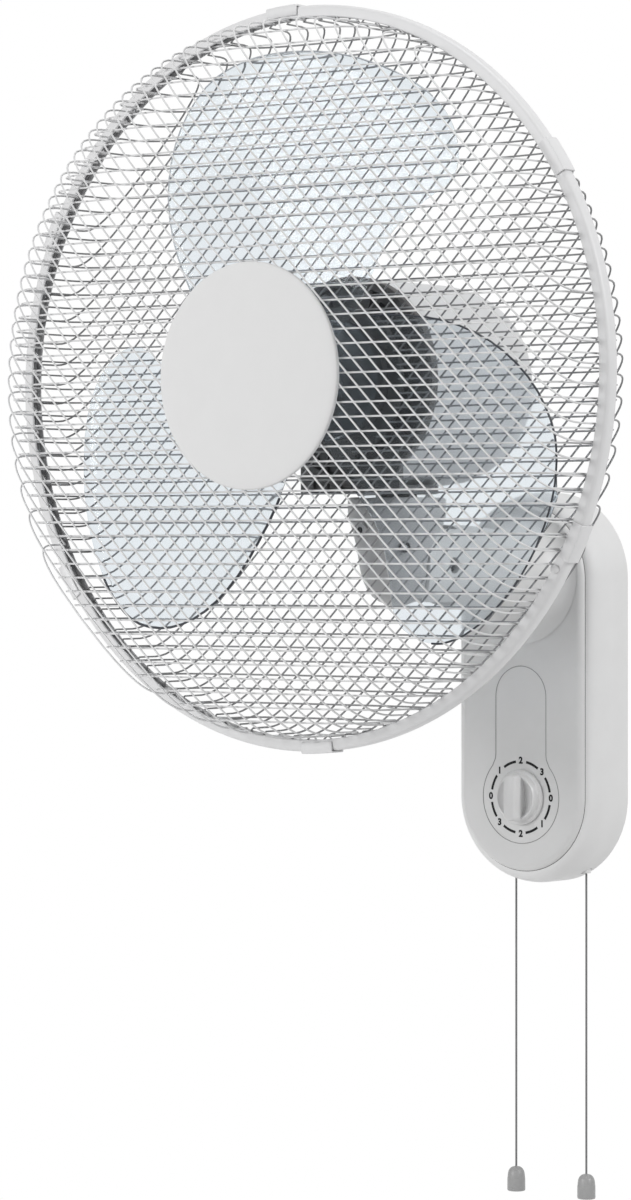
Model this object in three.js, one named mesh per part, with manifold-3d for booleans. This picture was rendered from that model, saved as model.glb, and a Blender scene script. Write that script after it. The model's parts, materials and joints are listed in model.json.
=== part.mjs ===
// A wall mounted fan: a pill shaped wall box with a dial and two pull cords, a short arm
// with a tilting and swinging head, three wide blades and a pair of wire mesh guards.
// Millimetres, +Z up, the fan blows towards -Y, and the wall is the plane y = 0.
import * as THREE from 'three';
import { mergeVertices } from 'three/addons/utils/BufferGeometryUtils.js';
import Module from 'manifold-3d';

const wasm = await Module();
wasm.setup();

// ---------- driving dimensions ----------
const gap = 0.3; // running and seating clearance
const round = 24; // steps round a large turned piece
const ringSteps = 48; // steps round the clamp ring and the guards' rims
const smallRound = 10; // steps round a small turned piece

// places
const fanHeight = 188; // fan axis above the centre of the wall box
const ringFront = -264.5; // front face of the clamp ring
const panY = -169.5; // swing axis
const tiltY = -143.5; // tilt axis
const tiltHeight = 78;

// wall box
const boxHalfWidth = 55;
const boxHalfSpacing = 69; // from the centre to each end's arc centre
const boxDepth = 40; // wall to the flat of the panel
const boxWall = 2.2;
const boxEdgeDepth = 18; // the rounded front edge, along the depth
const panelHalfWidth = 46.8;
const panelDrop = 3.6; // how far the panel's edge lies behind its flat
const panelFlatHalfWidth = 42;
const panelRecess = 5.4; // depth of the seat that the panel lies in
const plateThickness = 2.8;
const keyholeHead = 5; // radius of the wide end
const keyholeNeck = 2.6; // radius of the narrow end
const keyholeTravel = 9;
const keyholeHeight = 22; // above the box centre

// knob and switch
const knobRadius = 17.8;
const knobFlange = 2.4;
const knobGrip = 13; // height of the grip above the panel
const knobGripHalfWidth = 4.6;
const switchShaftRadius = 3;
const switchBushRadius = 5.5;
const switchSize = 32;
const switchDepth = 16;

// pull cords
const cordX = 27.3;
const cordY = -6.6;
const cordRadius = 0.65;
const cordDrop = 192; // from the box's edge to the bell
const bellRadius = 5.9;
const bellHeight = 15.5;
const eyeletRadius = 3;
const pullTravel = 14;

// arm and neck
const armRadius = 25;
const flareRadius = 42;
const spigotRadius = 18;
const armScrewX = 10.8;
const armScrewRadius = 1.7;
const slotHalfWidth = 11;
const tongueRadius = 20;
const boltRadius = 3;
const boltHeadRadius = 4.7;
const boltHeadDepth = 6;
const neckRadius = 30;
const neckTop = 119;
const neckBottom = 53;
const panPostRadius = 7;
const panPostLength = 24;
const washerThickness = 1.8;

// motor
const motorRadius = 62;
const motorFront = -216.5;
const motorBack = -96.5;
const coverWall = 2;
const bracketThickness = 4;
const shelfThickness = 5;
const footHalfWidth = 37.5;
const footHeight = 20;
const statorRadius = 46;
const statorLength = 30;
const statorFront = -196;
const windingFrontReach = 5.6;
const windingBackReach = 12;
const rearPlateGap = 14; // from the stator's back to the rear bracket
const rearPlateThickness = 3;
const rearSlotInner = 20;
const rearSlotOuter = 38;
const rotorRadius = 26;
const shaftRadius = 4;
const shaftNose = 9; // in front of the blades' hub
const shaftTail = 30; // behind the stator
const bearingRadius = 11;
const bearingLength = 8;

// guards
const guardRadius = 211.4; // where the wires turn out of the ring
const rimStep = 4.8; // from there out to the middle of the rim
const rimHalf = 1.35; // half the side of the rim's square section
const rimSpacing = 0.4; // between the two guards' rims
const ringWall = 1.3;
const ringLip = 1.6; // from the wires' turn to the ring's inner edge
const ringPlay = 1.15; // between the rims and the ring's outer wall
const frontGuardDepth = 50;
const frontGuardPower = 4; // squareness of the front guard's shoulder
const rearGuardDepth = 37;
const rearGuardPower = 6;
const wirePitch = 20;
const wireRadius = 0.7;
const wireLayer = 2.1; // from one family of wires to the other
const shoulderRadii = [0.965, 0.84]; // where the wires bend, in shares of the radius
const hubRingInner = 31;
const hubRingOuter = 45;
const discRadius = 66.4;
const discCrown = 1.2;
const clipAngle = 6; // degrees of ring that one clip holds
const clipCount = 6;
const clipStart = 93.5; // direction of the first clip, in degrees
const clipReach = 1.5; // how far the clip stays outside the ring's inner edge
const clipThickness = 1.4;

// blades
const bladeCount = 3;
const tipRadius = 194.8;
const rootRadius = 33;
const bladeThickness = 1.6;
const bladeMiddle = -266; // middle of the blades along the axis
const bladeHeading = 102.3; // direction of a blade's middle line, in degrees
const bladePitch = 0.242; // rise per millimetre across the blade
const bladeWarp = 0.00091; // how the pitch eases with each millimetre of radius
const bladeCamber = 5;
// directions of a blade's two edges in degrees, at even steps from the root to the tip
const leadingEdge = [47, 53, 57, 54, 50.5, 54, 63, 82, 98.8];
const trailingEdge = [160.5, 150, 140.5, 133.5, 127, 120.5, 114, 107.5, 98.8];
const bladeRows = 10;
const bladeColumns = 6;
const hubRadius = 36;
const hubFront = -292;
const hubBack = -236;
const hubWall = 2.6;

// swing drive
const crankY = -124;
const crankThrow = 10;
const crankRadius = 13;
const crankThickness = 3.5;
const swingCanRadius = 16;
const crankBottom = 131;
const linkBottom = 113;
const linkThickness = 3;
const linkAnchorX = -15.5; // pivot on the neck, beside the swing axis
const panLimit = 35; // degrees of swing to each side
const linkHalfWidth = 3.4;
const pinRadius = 2;

// ---------- places worked out from these ----------
const dialHeight = -boxHalfSpacing;
const armHeight = boxHalfSpacing + 2; // the arm leaves the box here
const panelBack = -(boxDepth - panelRecess);
const innerFront = panelBack + boxWall - gap; // inside face of the housing's front wall
const rimRadius = guardRadius + rimStep;
const ringInner = guardRadius + ringLip;
const ringRadius = rimRadius + rimHalf + ringPlay + ringWall;
const ringDepth = 2 * (ringWall + gap + 2 * rimHalf) + rimSpacing;
const ringBack = ringFront + ringDepth;
const frontRimY = ringFront + ringWall + gap + rimHalf;
const rearRimY = ringBack - ringWall - gap - rimHalf;
const headFloor = neckTop + gap + washerThickness + gap;
const shelfTop = headFloor + shelfThickness;
const cordExit = -(boxHalfSpacing + Math.sqrt(boxHalfWidth ** 2 - cordX ** 2));
const degree = Math.PI / 180;

// ---------- helpers ----------
function cleaned(geometry) {
  const bare = geometry.clone();
  for (const name of Object.keys(bare.attributes)) {
    if (name !== 'position') bare.deleteAttribute(name);
  }
  const merged = mergeVertices(bare.index ? bare : mergeVertices(bare, 1e-4), 1e-4);
  const place = merged.attributes.position;
  const old = merged.index.array;
  const kept = [];
  for (let i = 0; i < old.length; i += 3) {
    const [a, b, c] = [old[i], old[i + 1], old[i + 2]];
    if (a !== b && b !== c && c !== a) kept.push(a, b, c);
  }
  let volume = 0;
  const [p, q, r] = [new THREE.Vector3(), new THREE.Vector3(), new THREE.Vector3()];
  for (let i = 0; i < kept.length; i += 3) {
    p.fromBufferAttribute(place, kept[i]);
    q.fromBufferAttribute(place, kept[i + 1]);
    r.fromBufferAttribute(place, kept[i + 2]);
    volume += p.dot(q.cross(r));
  }
  if (volume < 0) {
    for (let i = 0; i < kept.length; i += 3) [kept[i], kept[i + 1]] = [kept[i + 1], kept[i]];
  }
  merged.setIndex(kept);
  return merged;
}

function solid(geometry) {
  const clean = cleaned(geometry);
  const vertProperties = Float32Array.from(clean.attributes.position.array);
  const triVerts = Uint32Array.from(clean.index.array);
  return new wasm.Manifold(new wasm.Mesh({ numProp: 3, vertProperties, triVerts }));
}

function surface(body) {
  const mesh = body.getMesh();
  const geometry = new THREE.BufferGeometry();
  geometry.setAttribute('position', new THREE.BufferAttribute(mesh.vertProperties, 3));
  geometry.setIndex(new THREE.BufferAttribute(mesh.triVerts, 1));
  return geometry;
}

function join(first, ...others) {
  return surface(others.reduce((body, other) => body.add(solid(other)), solid(first)));
}

function cut(first, ...others) {
  return surface(others.reduce((body, other) => body.subtract(solid(other)), solid(first)));
}

function common(first, second) {
  return surface(solid(first).intersect(solid(second)));
}

function moved(geometry, x, y, z) {
  return geometry.clone().translate(x, y, z);
}

function block(x0, x1, y0, y1, z0, z1) {
  const box = new THREE.BoxGeometry(x1 - x0, y1 - y0, z1 - z0);
  return box.translate((x0 + x1) / 2, (y0 + y1) / 2, (z0 + z1) / 2);
}

// a solid turned about the Y axis from [radius, y] pairs that start and end on the axis
// or close on themselves
function turned(profile, steps = round) {
  return new THREE.LatheGeometry(profile.map(([r, y]) => new THREE.Vector2(r, y)), steps);
}

// the same about the Z axis
function turnedUp(profile, steps = round) {
  return turned(profile, steps).rotateX(Math.PI / 2);
}

function rodY(radius, y0, y1, steps = smallRound) {
  return turned([[0, y0], [radius, y0], [radius, y1], [0, y1]], steps);
}

function rodZ(radius, z0, z1, steps = smallRound) {
  return turnedUp([[0, z0], [radius, z0], [radius, z1], [0, z1]], steps);
}

function rodX(radius, x0, x1, steps = smallRound) {
  const rod = turned([[0, x0], [radius, x0], [radius, x1], [0, x1]], steps);
  return rod.rotateZ(-Math.PI / 2);
}

function tubeY(inner, outer, y0, y1, steps = round) {
  return turned([[inner, y0], [outer, y0], [outer, y1], [inner, y1], [inner, y0]], steps);
}

function tubeZ(inner, outer, z0, z1, steps = round) {
  return turnedUp([[inner, z0], [outer, z0], [outer, z1], [inner, z1], [inner, z0]], steps);
}

// a stack of pill outlines (two half circles joined by straight sides), skinned along Y
function pillLoft(stations, arcSteps = round / 2) {
  const perRing = 2 * (arcSteps + 1);
  const points = [];
  for (const { y, halfWidth, halfSpacing = boxHalfSpacing, height = 0 } of stations) {
    for (let i = 0; i < perRing; i += 1) {
      const lower = i > arcSteps;
      const angle = (Math.PI * (lower ? i - 1 : i)) / arcSteps;
      const end = lower ? -halfSpacing : halfSpacing;
      points.push(halfWidth * Math.cos(angle), y, height + end + halfWidth * Math.sin(angle));
    }
  }
  return skinned(points, stations.length, perRing);
}

// closes a stack of rings of points into one solid, with flat fans over both ends
function skinned(points, rings, perRing) {
  const faces = [];
  for (let k = 0; k + 1 < rings; k += 1) {
    for (let i = 0; i < perRing; i += 1) {
      const [a, b] = [k * perRing + i, k * perRing + ((i + 1) % perRing)];
      faces.push(a, b, b + perRing, a, b + perRing, a + perRing);
    }
  }
  for (let i = 1; i + 1 < perRing; i += 1) {
    const last = (rings - 1) * perRing;
    faces.push(0, i + 1, i);
    faces.push(last, last + i, last + i + 1);
  }
  const geometry = new THREE.BufferGeometry();
  geometry.setAttribute('position', new THREE.Float32BufferAttribute(points, 3));
  geometry.setIndex(faces);
  return geometry;
}

// sweeps a closed [radius, y] outline about the Y axis through part of a turn
function arcSweep(outline, from, to, steps) {
  const points = [];
  for (let k = 0; k <= steps; k += 1) {
    const angle = from + ((to - from) * k) / steps;
    for (const [r, y] of outline) points.push(r * Math.cos(angle), y, r * Math.sin(angle));
  }
  const flat = outline.map(([r, y]) => new THREE.Vector2(r, y));
  const caps = THREE.ShapeUtils.triangulateShape(flat, []);
  const n = outline.length;
  const faces = [];
  for (let k = 0; k < steps; k += 1) {
    for (let i = 0; i < n; i += 1) {
      const [a, b] = [k * n + i, k * n + ((i + 1) % n)];
      faces.push(a, b, b + n, a, b + n, a + n);
    }
  }
  const reversed = THREE.ShapeUtils.isClockWise(flat);
  for (const [a, b, c] of caps) {
    const last = steps * n;
    if (reversed) faces.push(a, b, c, last + c, last + b, last + a);
    else faces.push(c, b, a, last + a, last + b, last + c);
  }
  const geometry = new THREE.BufferGeometry();
  geometry.setAttribute('position', new THREE.Float32BufferAttribute(points, 3));
  geometry.setIndex(faces);
  return geometry;
}

// an outline in x and z, extruded from y0 to y1
function prismY(shape, y0, y1, curveSegments = smallRound) {
  const options = { depth: y1 - y0, bevelEnabled: false, curveSegments };
  return new THREE.ExtrudeGeometry(shape, options).rotateX(Math.PI / 2).translate(0, y1, 0);
}

// an outline in x and y, extruded from z0 to z1
function prismZ(shape, z0, z1, curveSegments = smallRound) {
  const options = { depth: z1 - z0, bevelEnabled: false, curveSegments };
  return new THREE.ExtrudeGeometry(shape, options).translate(0, 0, z0);
}

const root = new THREE.Group();

function piece(name, geometry, color, roughness, metalness = 0) {
  const material = new THREE.MeshStandardMaterial({ color, roughness, metalness });
  const mesh = new THREE.Mesh(cleaned(geometry), material);
  mesh.name = name;
  root.add(mesh);
  return mesh;
}

const white = '#dcdddd';
const panelGrey = '#c9caca';
const dark = '#3b3c3e';
const steel = '#a8abae';

// ---------- wall box ----------
// half width of the housing, from the wall forward: straight sides, then an elliptic edge
function housingStations(inset, front) {
  const edgeStart = -(boxDepth - panelDrop - boxEdgeDepth); // negative: in front of the wall
  const edgeWidth = boxHalfWidth - panelHalfWidth - gap;
  const stations = [{ y: 0, halfWidth: boxHalfWidth - inset }];
  for (const turn of [0, 30, 60, 90]) {
    const y = edgeStart - (front + edgeStart) * Math.sin(turn * degree);
    const narrowing = edgeWidth * (1 - Math.cos(turn * degree));
    stations.push({ y, halfWidth: boxHalfWidth - inset - narrowing });
  }
  return stations;
}

function frontHousing() {
  const outer = pillLoft(housingStations(0, boxDepth - panelDrop));
  const inner = pillLoft(housingStations(boxWall, -innerFront));
  const lowered = moved(inner, 0, gap, 0);
  const seat = pillLoft([
    { y: panelBack - gap - boxDepth, halfWidth: panelHalfWidth + gap },
    { y: panelBack + gap, halfWidth: panelHalfWidth + gap },
  ]);
  const through = [panelBack - boxDepth, -gap];
  const armHole = moved(rodY(spigotRadius + gap, ...through, round), 0, 0, armHeight);
  const bushHole = moved(rodY(switchBushRadius + gap, ...through), 0, 0, dialHeight);
  let shell = cut(outer, lowered, seat, armHole, bushHole);
  for (const side of [-1, 1]) {
    const exit = rodZ(eyeletRadius + gap, cordExit - boxWall * 2, cordExit + boxWall * 4);
    shell = cut(shell, moved(exit, side * cordX, cordY, 0));
  }
  return shell;
}

function controlPanel() {
  const narrow = panelHalfWidth - panelFlatHalfWidth;
  const stations = [{ y: panelBack, halfWidth: panelHalfWidth }];
  for (const turn of [0, 30, 60, 90]) {
    stations.push({
      y: -(boxDepth - panelDrop) - panelDrop * Math.sin(turn * degree),
      halfWidth: panelFlatHalfWidth + narrow * Math.cos(turn * degree),
    });
  }
  const reach = [-boxDepth * 2, 0];
  const armHole = moved(rodY(spigotRadius + gap, ...reach, round), 0, 0, armHeight);
  const bushHole = moved(rodY(switchBushRadius + gap, ...reach), 0, 0, dialHeight);
  return cut(pillLoft(stations), armHole, bushHole);
}

function mountingPlate() {
  const halfWidth = boxHalfWidth - boxWall - gap;
  let plate = pillLoft([{ y: -plateThickness, halfWidth }, { y: 0, halfWidth }]);
  for (const height of [keyholeHeight, -keyholeHeight * 2]) {
    const shape = new THREE.Shape();
    const lean = Math.asin(keyholeNeck / keyholeHead);
    shape.absarc(0, height, keyholeHead, Math.PI / 2 + lean, Math.PI / 2 - lean, false);
    shape.absarc(0, height + keyholeTravel, keyholeNeck, 0, Math.PI, false);
    plate = cut(plate, prismY(shape, -plateThickness * 2, plateThickness, 10));
  }
  for (const height of [boxHalfSpacing + 36, -boxHalfSpacing - 36]) {
    plate = cut(plate, moved(rodY(2, -plateThickness * 2, plateThickness), 0, 0, height));
  }
  for (const side of [-1, 1]) {
    const hole = rodY(armScrewRadius + gap, -plateThickness * 2, plateThickness);
    plate = cut(plate, moved(hole, side * armScrewX, 0, armHeight));
  }
  return plate;
}

piece('front_housing', frontHousing(), white, 0.4);
piece('control_panel', controlPanel(), panelGrey, 0.5);
piece('mounting_plate', mountingPlate(), steel, 0.5, 0.7);

// ---------- switches and electrical pieces in the box ----------
function rotarySwitch() {
  const half = switchSize / 2;
  const back = innerFront + gap;
  const body = block(-half, half, back, back + switchDepth, -half, half);
  const bush = rodY(switchBushRadius, -(boxDepth - gap), back + 1);
  const bore = rodY(switchShaftRadius + gap, -boxDepth, back + switchDepth - 3);
  return moved(cut(join(body, bush), bore), 0, 0, dialHeight);
}

function pullSwitch(side) {
  const x = side * cordX;
  const bottom = cordExit + 30;
  const body = block(x - 9, x + 9, cordY - 6, cordY + 3.4, bottom, bottom + 26);
  const bore = moved(rodZ(1.4, bottom - 1, bottom + pullTravel + 4), x, cordY, 0);
  return cut(body, bore);
}

function cordEyelet(side) {
  const wallTop = cordExit + 5;
  const ring = tubeZ(cordRadius + gap, eyeletRadius, cordExit - 1, wallTop, smallRound);
  return moved(ring, side * cordX, cordY, 0);
}

piece('rotary_switch', rotarySwitch(), '#2b2c2e', 0.6);
for (const [name, side] of [['left', -1], ['right', 1]]) {
  piece(`pull_switch_${name}`, pullSwitch(side), '#34363a', 0.6);
  piece(`cord_eyelet_${name}`, cordEyelet(side), white, 0.5);
}
const capacitor = block(-20, 20, -24, -plateThickness - gap, -24, -10);
piece('motor_capacitor', capacitor, '#e4e4e0', 0.5);
const terminals = block(-22, 22, -16, -plateThickness - gap, 36, 47);
piece('terminal_block', terminals, '#d8d8d4', 0.5);

// ---------- knob ----------
function knob() {
  const back = -boxDepth - gap;
  const front = back - knobGrip;
  const flange = turned([
    [0, back],
    [knobRadius, back],
    [knobRadius, back - knobFlange * 0.6],
    [knobRadius - 0.8, back - knobFlange],
    [0, back - knobFlange],
  ]);
  const drum = turned([
    [0, back - 1],
    [knobRadius - 1.2, back - 1],
    [knobRadius - 2.2, front + 1.5],
    [knobRadius - 3.6, front],
    [0, front],
  ]);
  const scoops = [-1, 1].map((side) => {
    const scoop = rodZ(24, -knobRadius * 2, knobRadius * 2);
    return moved(scoop, side * (knobGripHalfWidth + 24), front - 24 + knobGrip + 8.5, 0);
  });
  const grip = cut(drum, ...scoops);
  const bore = rodY(switchShaftRadius + gap, back - 8, back + 1);
  return moved(cut(join(flange, grip), bore), 0, 0, dialHeight);
}

piece('control_knob', knob(), '#e8e8e8', 0.35);
const shaftBack = innerFront + switchDepth - 3;
const switchShaft = rodY(switchShaftRadius, -boxDepth - gap - 7.5, shaftBack);
piece('switch_shaft', moved(switchShaft, 0, 0, dialHeight), steel, 0.4, 0.6);

// ---------- pull cords ----------
function pullCord(side) {
  const top = cordExit + 30 + pullTravel;
  const bottom = cordExit - cordDrop;
  const path = new THREE.LineCurve3(
    new THREE.Vector3(side * cordX, cordY, top),
    new THREE.Vector3(side * cordX, cordY, bottom),
  );
  const section = new THREE.Shape();
  section.absarc(0, 0, cordRadius, 0, Math.PI * 2, false);
  return new THREE.ExtrudeGeometry(section, {
    extrudePath: path, steps: 30, curveSegments: 4, bevelEnabled: false,
  });
}

function cordBell(side) {
  const top = cordExit - cordDrop - gap;
  const shape = turnedUp([
    [0, top],
    [2.2, top],
    [4.2, top - 1.4],
    [5.2, top - 4],
    [bellRadius - 0.3, top - bellHeight * 0.6],
    [bellRadius, top - bellHeight + 1],
    [bellRadius - 0.8, top - bellHeight],
    [0, top - bellHeight],
  ], 16);
  return moved(shape, side * cordX, cordY, 0);
}

for (const [name, side] of [['left', -1], ['right', 1]]) {
  piece(`pull_cord_${name}`, pullCord(side), '#8a8a8a', 0.8);
  piece(`cord_bell_${name}`, cordBell(side), '#a4a5a6', 0.4);
}

// ---------- arm ----------
// the arm leaves the panel in a flare, rises a little and ends in a rounded fork
function supportArm() {
  const panelFace = -boxDepth - gap;
  const rise = tiltHeight - armHeight;
  const profile = [
    [0, flareRadius, 0],
    [-1.2, flareRadius - 3.2, 0],
    [-4, flareRadius - 7.5, 0.02],
    [-9, flareRadius - 11.5, 0.06],
    [-17, armRadius + 3, 0.2],
    [-28, armRadius + 1, 0.45],
    [-44, armRadius, 0.8],
    [-62, armRadius, 1],
  ];
  const stations = profile.map(([y, halfWidth, share]) => (
    { y: panelFace + y, halfWidth, halfSpacing: 0, height: armHeight + rise * share }
  ));
  stations.push({ y: tiltY, halfWidth: armRadius, halfSpacing: 0, height: tiltHeight });
  const tube = pillLoft(stations);
  const stub = pillLoft([
    { y: tiltY - armRadius, halfWidth: armRadius, halfSpacing: 0, height: tiltHeight },
    { y: tiltY + 2, halfWidth: armRadius, halfSpacing: 0, height: tiltHeight },
  ]);
  const end = moved(rodX(armRadius, -armRadius * 2, armRadius * 2, round), 0, tiltY, tiltHeight);
  const spigot = moved(
    rodY(spigotRadius, panelFace - 4, -plateThickness - gap, round), 0, 0, armHeight,
  );
  const solidArm = join(tube, common(stub, end), spigot);
  const slot = block(
    -slotHalfWidth, slotHalfWidth, tiltY - armRadius * 2, tiltY + tongueRadius + 2,
    tiltHeight - armRadius * 2, tiltHeight + armRadius * 2,
  );
  const reach = armRadius * 2;
  const bore = moved(rodX(boltRadius + gap, -reach, reach), 0, tiltY, tiltHeight);
  const deep = armRadius - boltHeadDepth - 2;
  const sinks = [[-reach, -deep], [deep, reach]].map(([x0, x1]) => (
    moved(rodX(boltHeadRadius + gap, x0, x1), 0, tiltY, tiltHeight)
  ));
  return cut(solidArm, slot, bore, ...sinks);
}

function tiltBolt() {
  const seat = armRadius - boltHeadDepth - 2;
  const head = rodX(boltHeadRadius, seat + gap, seat + gap + 4);
  const shank = rodX(boltRadius, -seat - 4, seat + 1);
  const hex = rodX(2, seat + 2, seat + 8, 6);
  return moved(cut(join(head, shank), hex), 0, tiltY, tiltHeight);
}

function tiltNut() {
  const seat = armRadius - boltHeadDepth - 2;
  const body = rodX(boltHeadRadius, -seat - gap - 3, -seat - gap, 6);
  const bore = rodX(boltRadius + gap, -seat - 6, -seat + 2);
  return moved(cut(body, bore), 0, tiltY, tiltHeight);
}

piece('support_arm', supportArm(), white, 0.4);
piece('tilt_bolt', tiltBolt(), steel, 0.35, 0.8);
piece('tilt_nut', tiltNut(), steel, 0.35, 0.8);
for (const [name, side] of [['left', -1], ['right', 1]]) {
  const screw = rodY(armScrewRadius, -plateThickness - gap / 2, -gap);
  piece(`arm_screw_${name}`, moved(screw, side * armScrewX, 0, armHeight), steel, 0.4, 0.8);
}

// ---------- neck ----------
function neckHousing() {
  const body = moved(turnedUp([
    [0, neckTop],
    [neckRadius - 1, neckTop],
    [neckRadius, neckTop - 1],
    [neckRadius, neckTop - 9],
    [neckRadius - 1.5, neckTop - 15],
    [neckRadius - 5, neckTop - 28],
    [neckRadius - 7.5, neckTop - 44],
    [neckRadius - 12, neckTop - 56],
    [neckRadius - 19, neckTop - 63],
    [0, neckBottom],
  ]), 0, panY, 0);
  const clear = moved(rodX(armRadius + 1, -60, 60, round), 0, tiltY, tiltHeight);
  const half = slotHalfWidth - 0.5;
  const tongue = moved(rodX(tongueRadius, -half, half, round), 0, tiltY, tiltHeight);
  const web = block(-half, half, panY - 6, tiltY, tiltHeight - 14, neckTop - 12);
  const solidNeck = join(cut(body, clear), tongue, web);
  const bore = moved(rodX(boltRadius + gap, -60, 60), 0, tiltY, tiltHeight);
  const socket = rodZ(panPostRadius + gap, neckTop - panPostLength, neckTop + 1, round);
  const floor = linkBottom - gap;
  const edge = neckRadius * 2;
  const sector = new THREE.Shape([
    new THREE.Vector2(-edge, -linkHalfWidth - 1),
    new THREE.Vector2(linkAnchorX + linkHalfWidth + 1, -linkHalfWidth - 1),
    new THREE.Vector2(-3, 3),
    new THREE.Vector2(edge, edge),
    new THREE.Vector2(-edge, edge),
  ]);
  const pocket = prismZ(sector, floor, neckTop + 1);
  const pin = moved(rodZ(pinRadius, floor - 1, neckTop - 1), linkAnchorX, panY, 0);
  const hollow = cut(
    solidNeck, bore, moved(socket, 0, panY, 0), moved(pocket, 0, panY, 0),
  );
  return join(hollow, pin);
}

piece('neck_housing', neckHousing(), '#b9babb', 0.45);
const washer = tubeZ(panPostRadius + gap, 12.5, neckTop + gap, neckTop + gap + washerThickness, 24);
piece('pan_washer', moved(washer, 0, panY, 0), '#222325', 0.5);

// ---------- motor ----------
function frontBracket() {
  const front = motorFront;
  const plate = rodY(motorRadius + 1, front, front + bracketThickness, round);
  const foot = block(
    -footHalfWidth, footHalfWidth, front, front + bracketThickness,
    headFloor - fanHeight, headFloor - fanHeight + footHeight,
  );
  const collar = rodY(13, front - 9, front + 2, 24);
  const bearingSeat = rodY(bearingRadius + 4, front, front + bearingLength + 6, 24);
  const shelf = block(
    -24, 24, front, panY + 10, headFloor - fanHeight, shelfTop - fanHeight,
  );
  const shelfEnd = moved(rodZ(24, headFloor - fanHeight, shelfTop - fanHeight, 28), 0, panY, 0);
  const postFoot = neckTop - panPostLength + 2 - fanHeight;
  const post = moved(
    rodZ(panPostRadius, postFoot, headFloor - fanHeight + 1, round), 0, panY, 0,
  );
  const whole = join(plate, foot, collar, bearingSeat, shelf, shelfEnd, post);
  const cuts = [
    rodY(shaftRadius + 1, front - 20, front + 40),
    rodY(bearingRadius + gap, front + 5, front + 40, 24),
  ];
  for (let i = 0; i < 10; i += 1) {
    const from = (i * 36 + 6) * degree;
    const outline = [[26, front - 1], [52, front - 1], [52, front + 9], [26, front + 9]];
    cuts.push(arcSweep(outline, from, from + 22 * degree, 2));
  }
  return cut(whole, ...cuts).translate(0, 0, fanHeight);
}

function rearBracket() {
  const front = statorFront + statorLength + rearPlateGap;
  const plate = rodY(statorRadius, front, front + rearPlateThickness, round);
  const seat = rodY(bearingRadius + 3, front, front + bearingLength + 2, 24);
  const cuts = [
    rodY(bearingRadius + gap, front - 1, front + bearingLength, 24),
    rodY(shaftRadius + 1, front - 1, front + shaftTail),
  ];
  for (let i = 0; i < 4; i += 1) {
    const from = (i * 90 + 15) * degree;
    const [near, far] = [front - 1, front + rearPlateThickness + 2];
    const outline = [
      [rearSlotInner, near], [rearSlotOuter, near], [rearSlotOuter, far], [rearSlotInner, far],
    ];
    cuts.push(arcSweep(outline, from, from + 60 * degree, 3));
  }
  const carrier = block(
    -12, 12, front + 1, crankY - swingCanRadius - gap,
    crankBottom + crankThickness + 4 - fanHeight, crankBottom + crankThickness + 12 - fanHeight,
  );
  return join(cut(join(plate, seat), ...cuts), carrier).translate(0, 0, fanHeight);
}

function motorCover() {
  const front = motorFront + bracketThickness + gap;
  const back = motorBack;
  const outline = (inset, open) => [
    [0, open],
    [motorRadius - inset, open],
    [motorRadius - inset, back - 38],
    [motorRadius - 1.5 - inset, back - 24],
    [motorRadius - 5 - inset, back - 12],
    [motorRadius - 12 - inset, back - 4 - inset * 0.5],
    [motorRadius - 22 - inset, back - inset],
    [0, back - inset],
  ];
  const outer = turned(outline(0, front));
  const inner = turned(outline(coverWall, front - 1));
  const wide = motorRadius * 2;
  const floor = shelfTop + gap - fanHeight;
  const below = block(-wide, wide, front - 1, back + 1, -wide, floor);
  const crankHole = rodZ(crankRadius + 2, -wide, -motorRadius / 2, round);
  const cuts = [inner, below, moved(crankHole, 0, crankY, 0)];
  for (let i = 0; i < 7; i += 1) {
    const height = 30 - i * 9;
    cuts.push(block(-26 + Math.abs(i - 3) * 2, 26 - Math.abs(i - 3) * 2,
      back - 8, back + 2, height, height + 3.6));
  }
  return cut(outer, ...cuts).translate(0, 0, fanHeight);
}

function winding(y0, y1) {
  const ring = tubeY(rotorRadius + 5, statorRadius - 4, y0, y1, 24);
  return moved(ring, 0, 0, fanHeight);
}

function bearing(y0) {
  return moved(tubeY(shaftRadius + gap, bearingRadius, y0, y0 + bearingLength - 1, 20), 0, 0, fanHeight);
}

piece('motor_bracket_front', frontBracket(), dark, 0.55, 0.1);
piece('motor_bracket_rear', rearBracket(), '#8d9093', 0.5, 0.5);
piece('motor_cover', motorCover(), '#c2c5c8', 0.45);
const statorBack = statorFront + statorLength;
const stator = tubeY(rotorRadius + 1, statorRadius, statorFront, statorBack);
piece('stator_core', moved(stator, 0, 0, fanHeight), '#6b6e72', 0.5, 0.7);
piece('winding_front', winding(statorFront - windingFrontReach, statorFront - gap), '#b06a35', 0.4, 0.4);
piece('winding_rear', winding(statorBack + gap, statorBack + windingBackReach), '#b06a35', 0.4, 0.4);
piece('bearing_front', bearing(motorFront + 5 + gap), steel, 0.3, 0.8);
piece('bearing_rear', bearing(statorBack + rearPlateGap + gap), steel, 0.3, 0.8);

// ---------- rotor ----------
const shaftFront = hubFront - shaftNose;
const shaft = rodY(shaftRadius, shaftFront, statorBack + shaftTail, 20);
piece('motor_shaft', moved(shaft, 0, 0, fanHeight), steel, 0.3, 0.9);
const rotorCore = tubeY(shaftRadius + gap, rotorRadius, statorFront, statorBack);
piece('rotor_core', moved(rotorCore, 0, 0, fanHeight), '#9b9ea1', 0.4, 0.7);

// a point of the blade: row by row from root to tip, and across from edge to edge
const bladeEdges = new THREE.SplineCurve(
  leadingEdge.map((leading, i) => new THREE.Vector2(leading, trailingEdge[i])),
);

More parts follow.
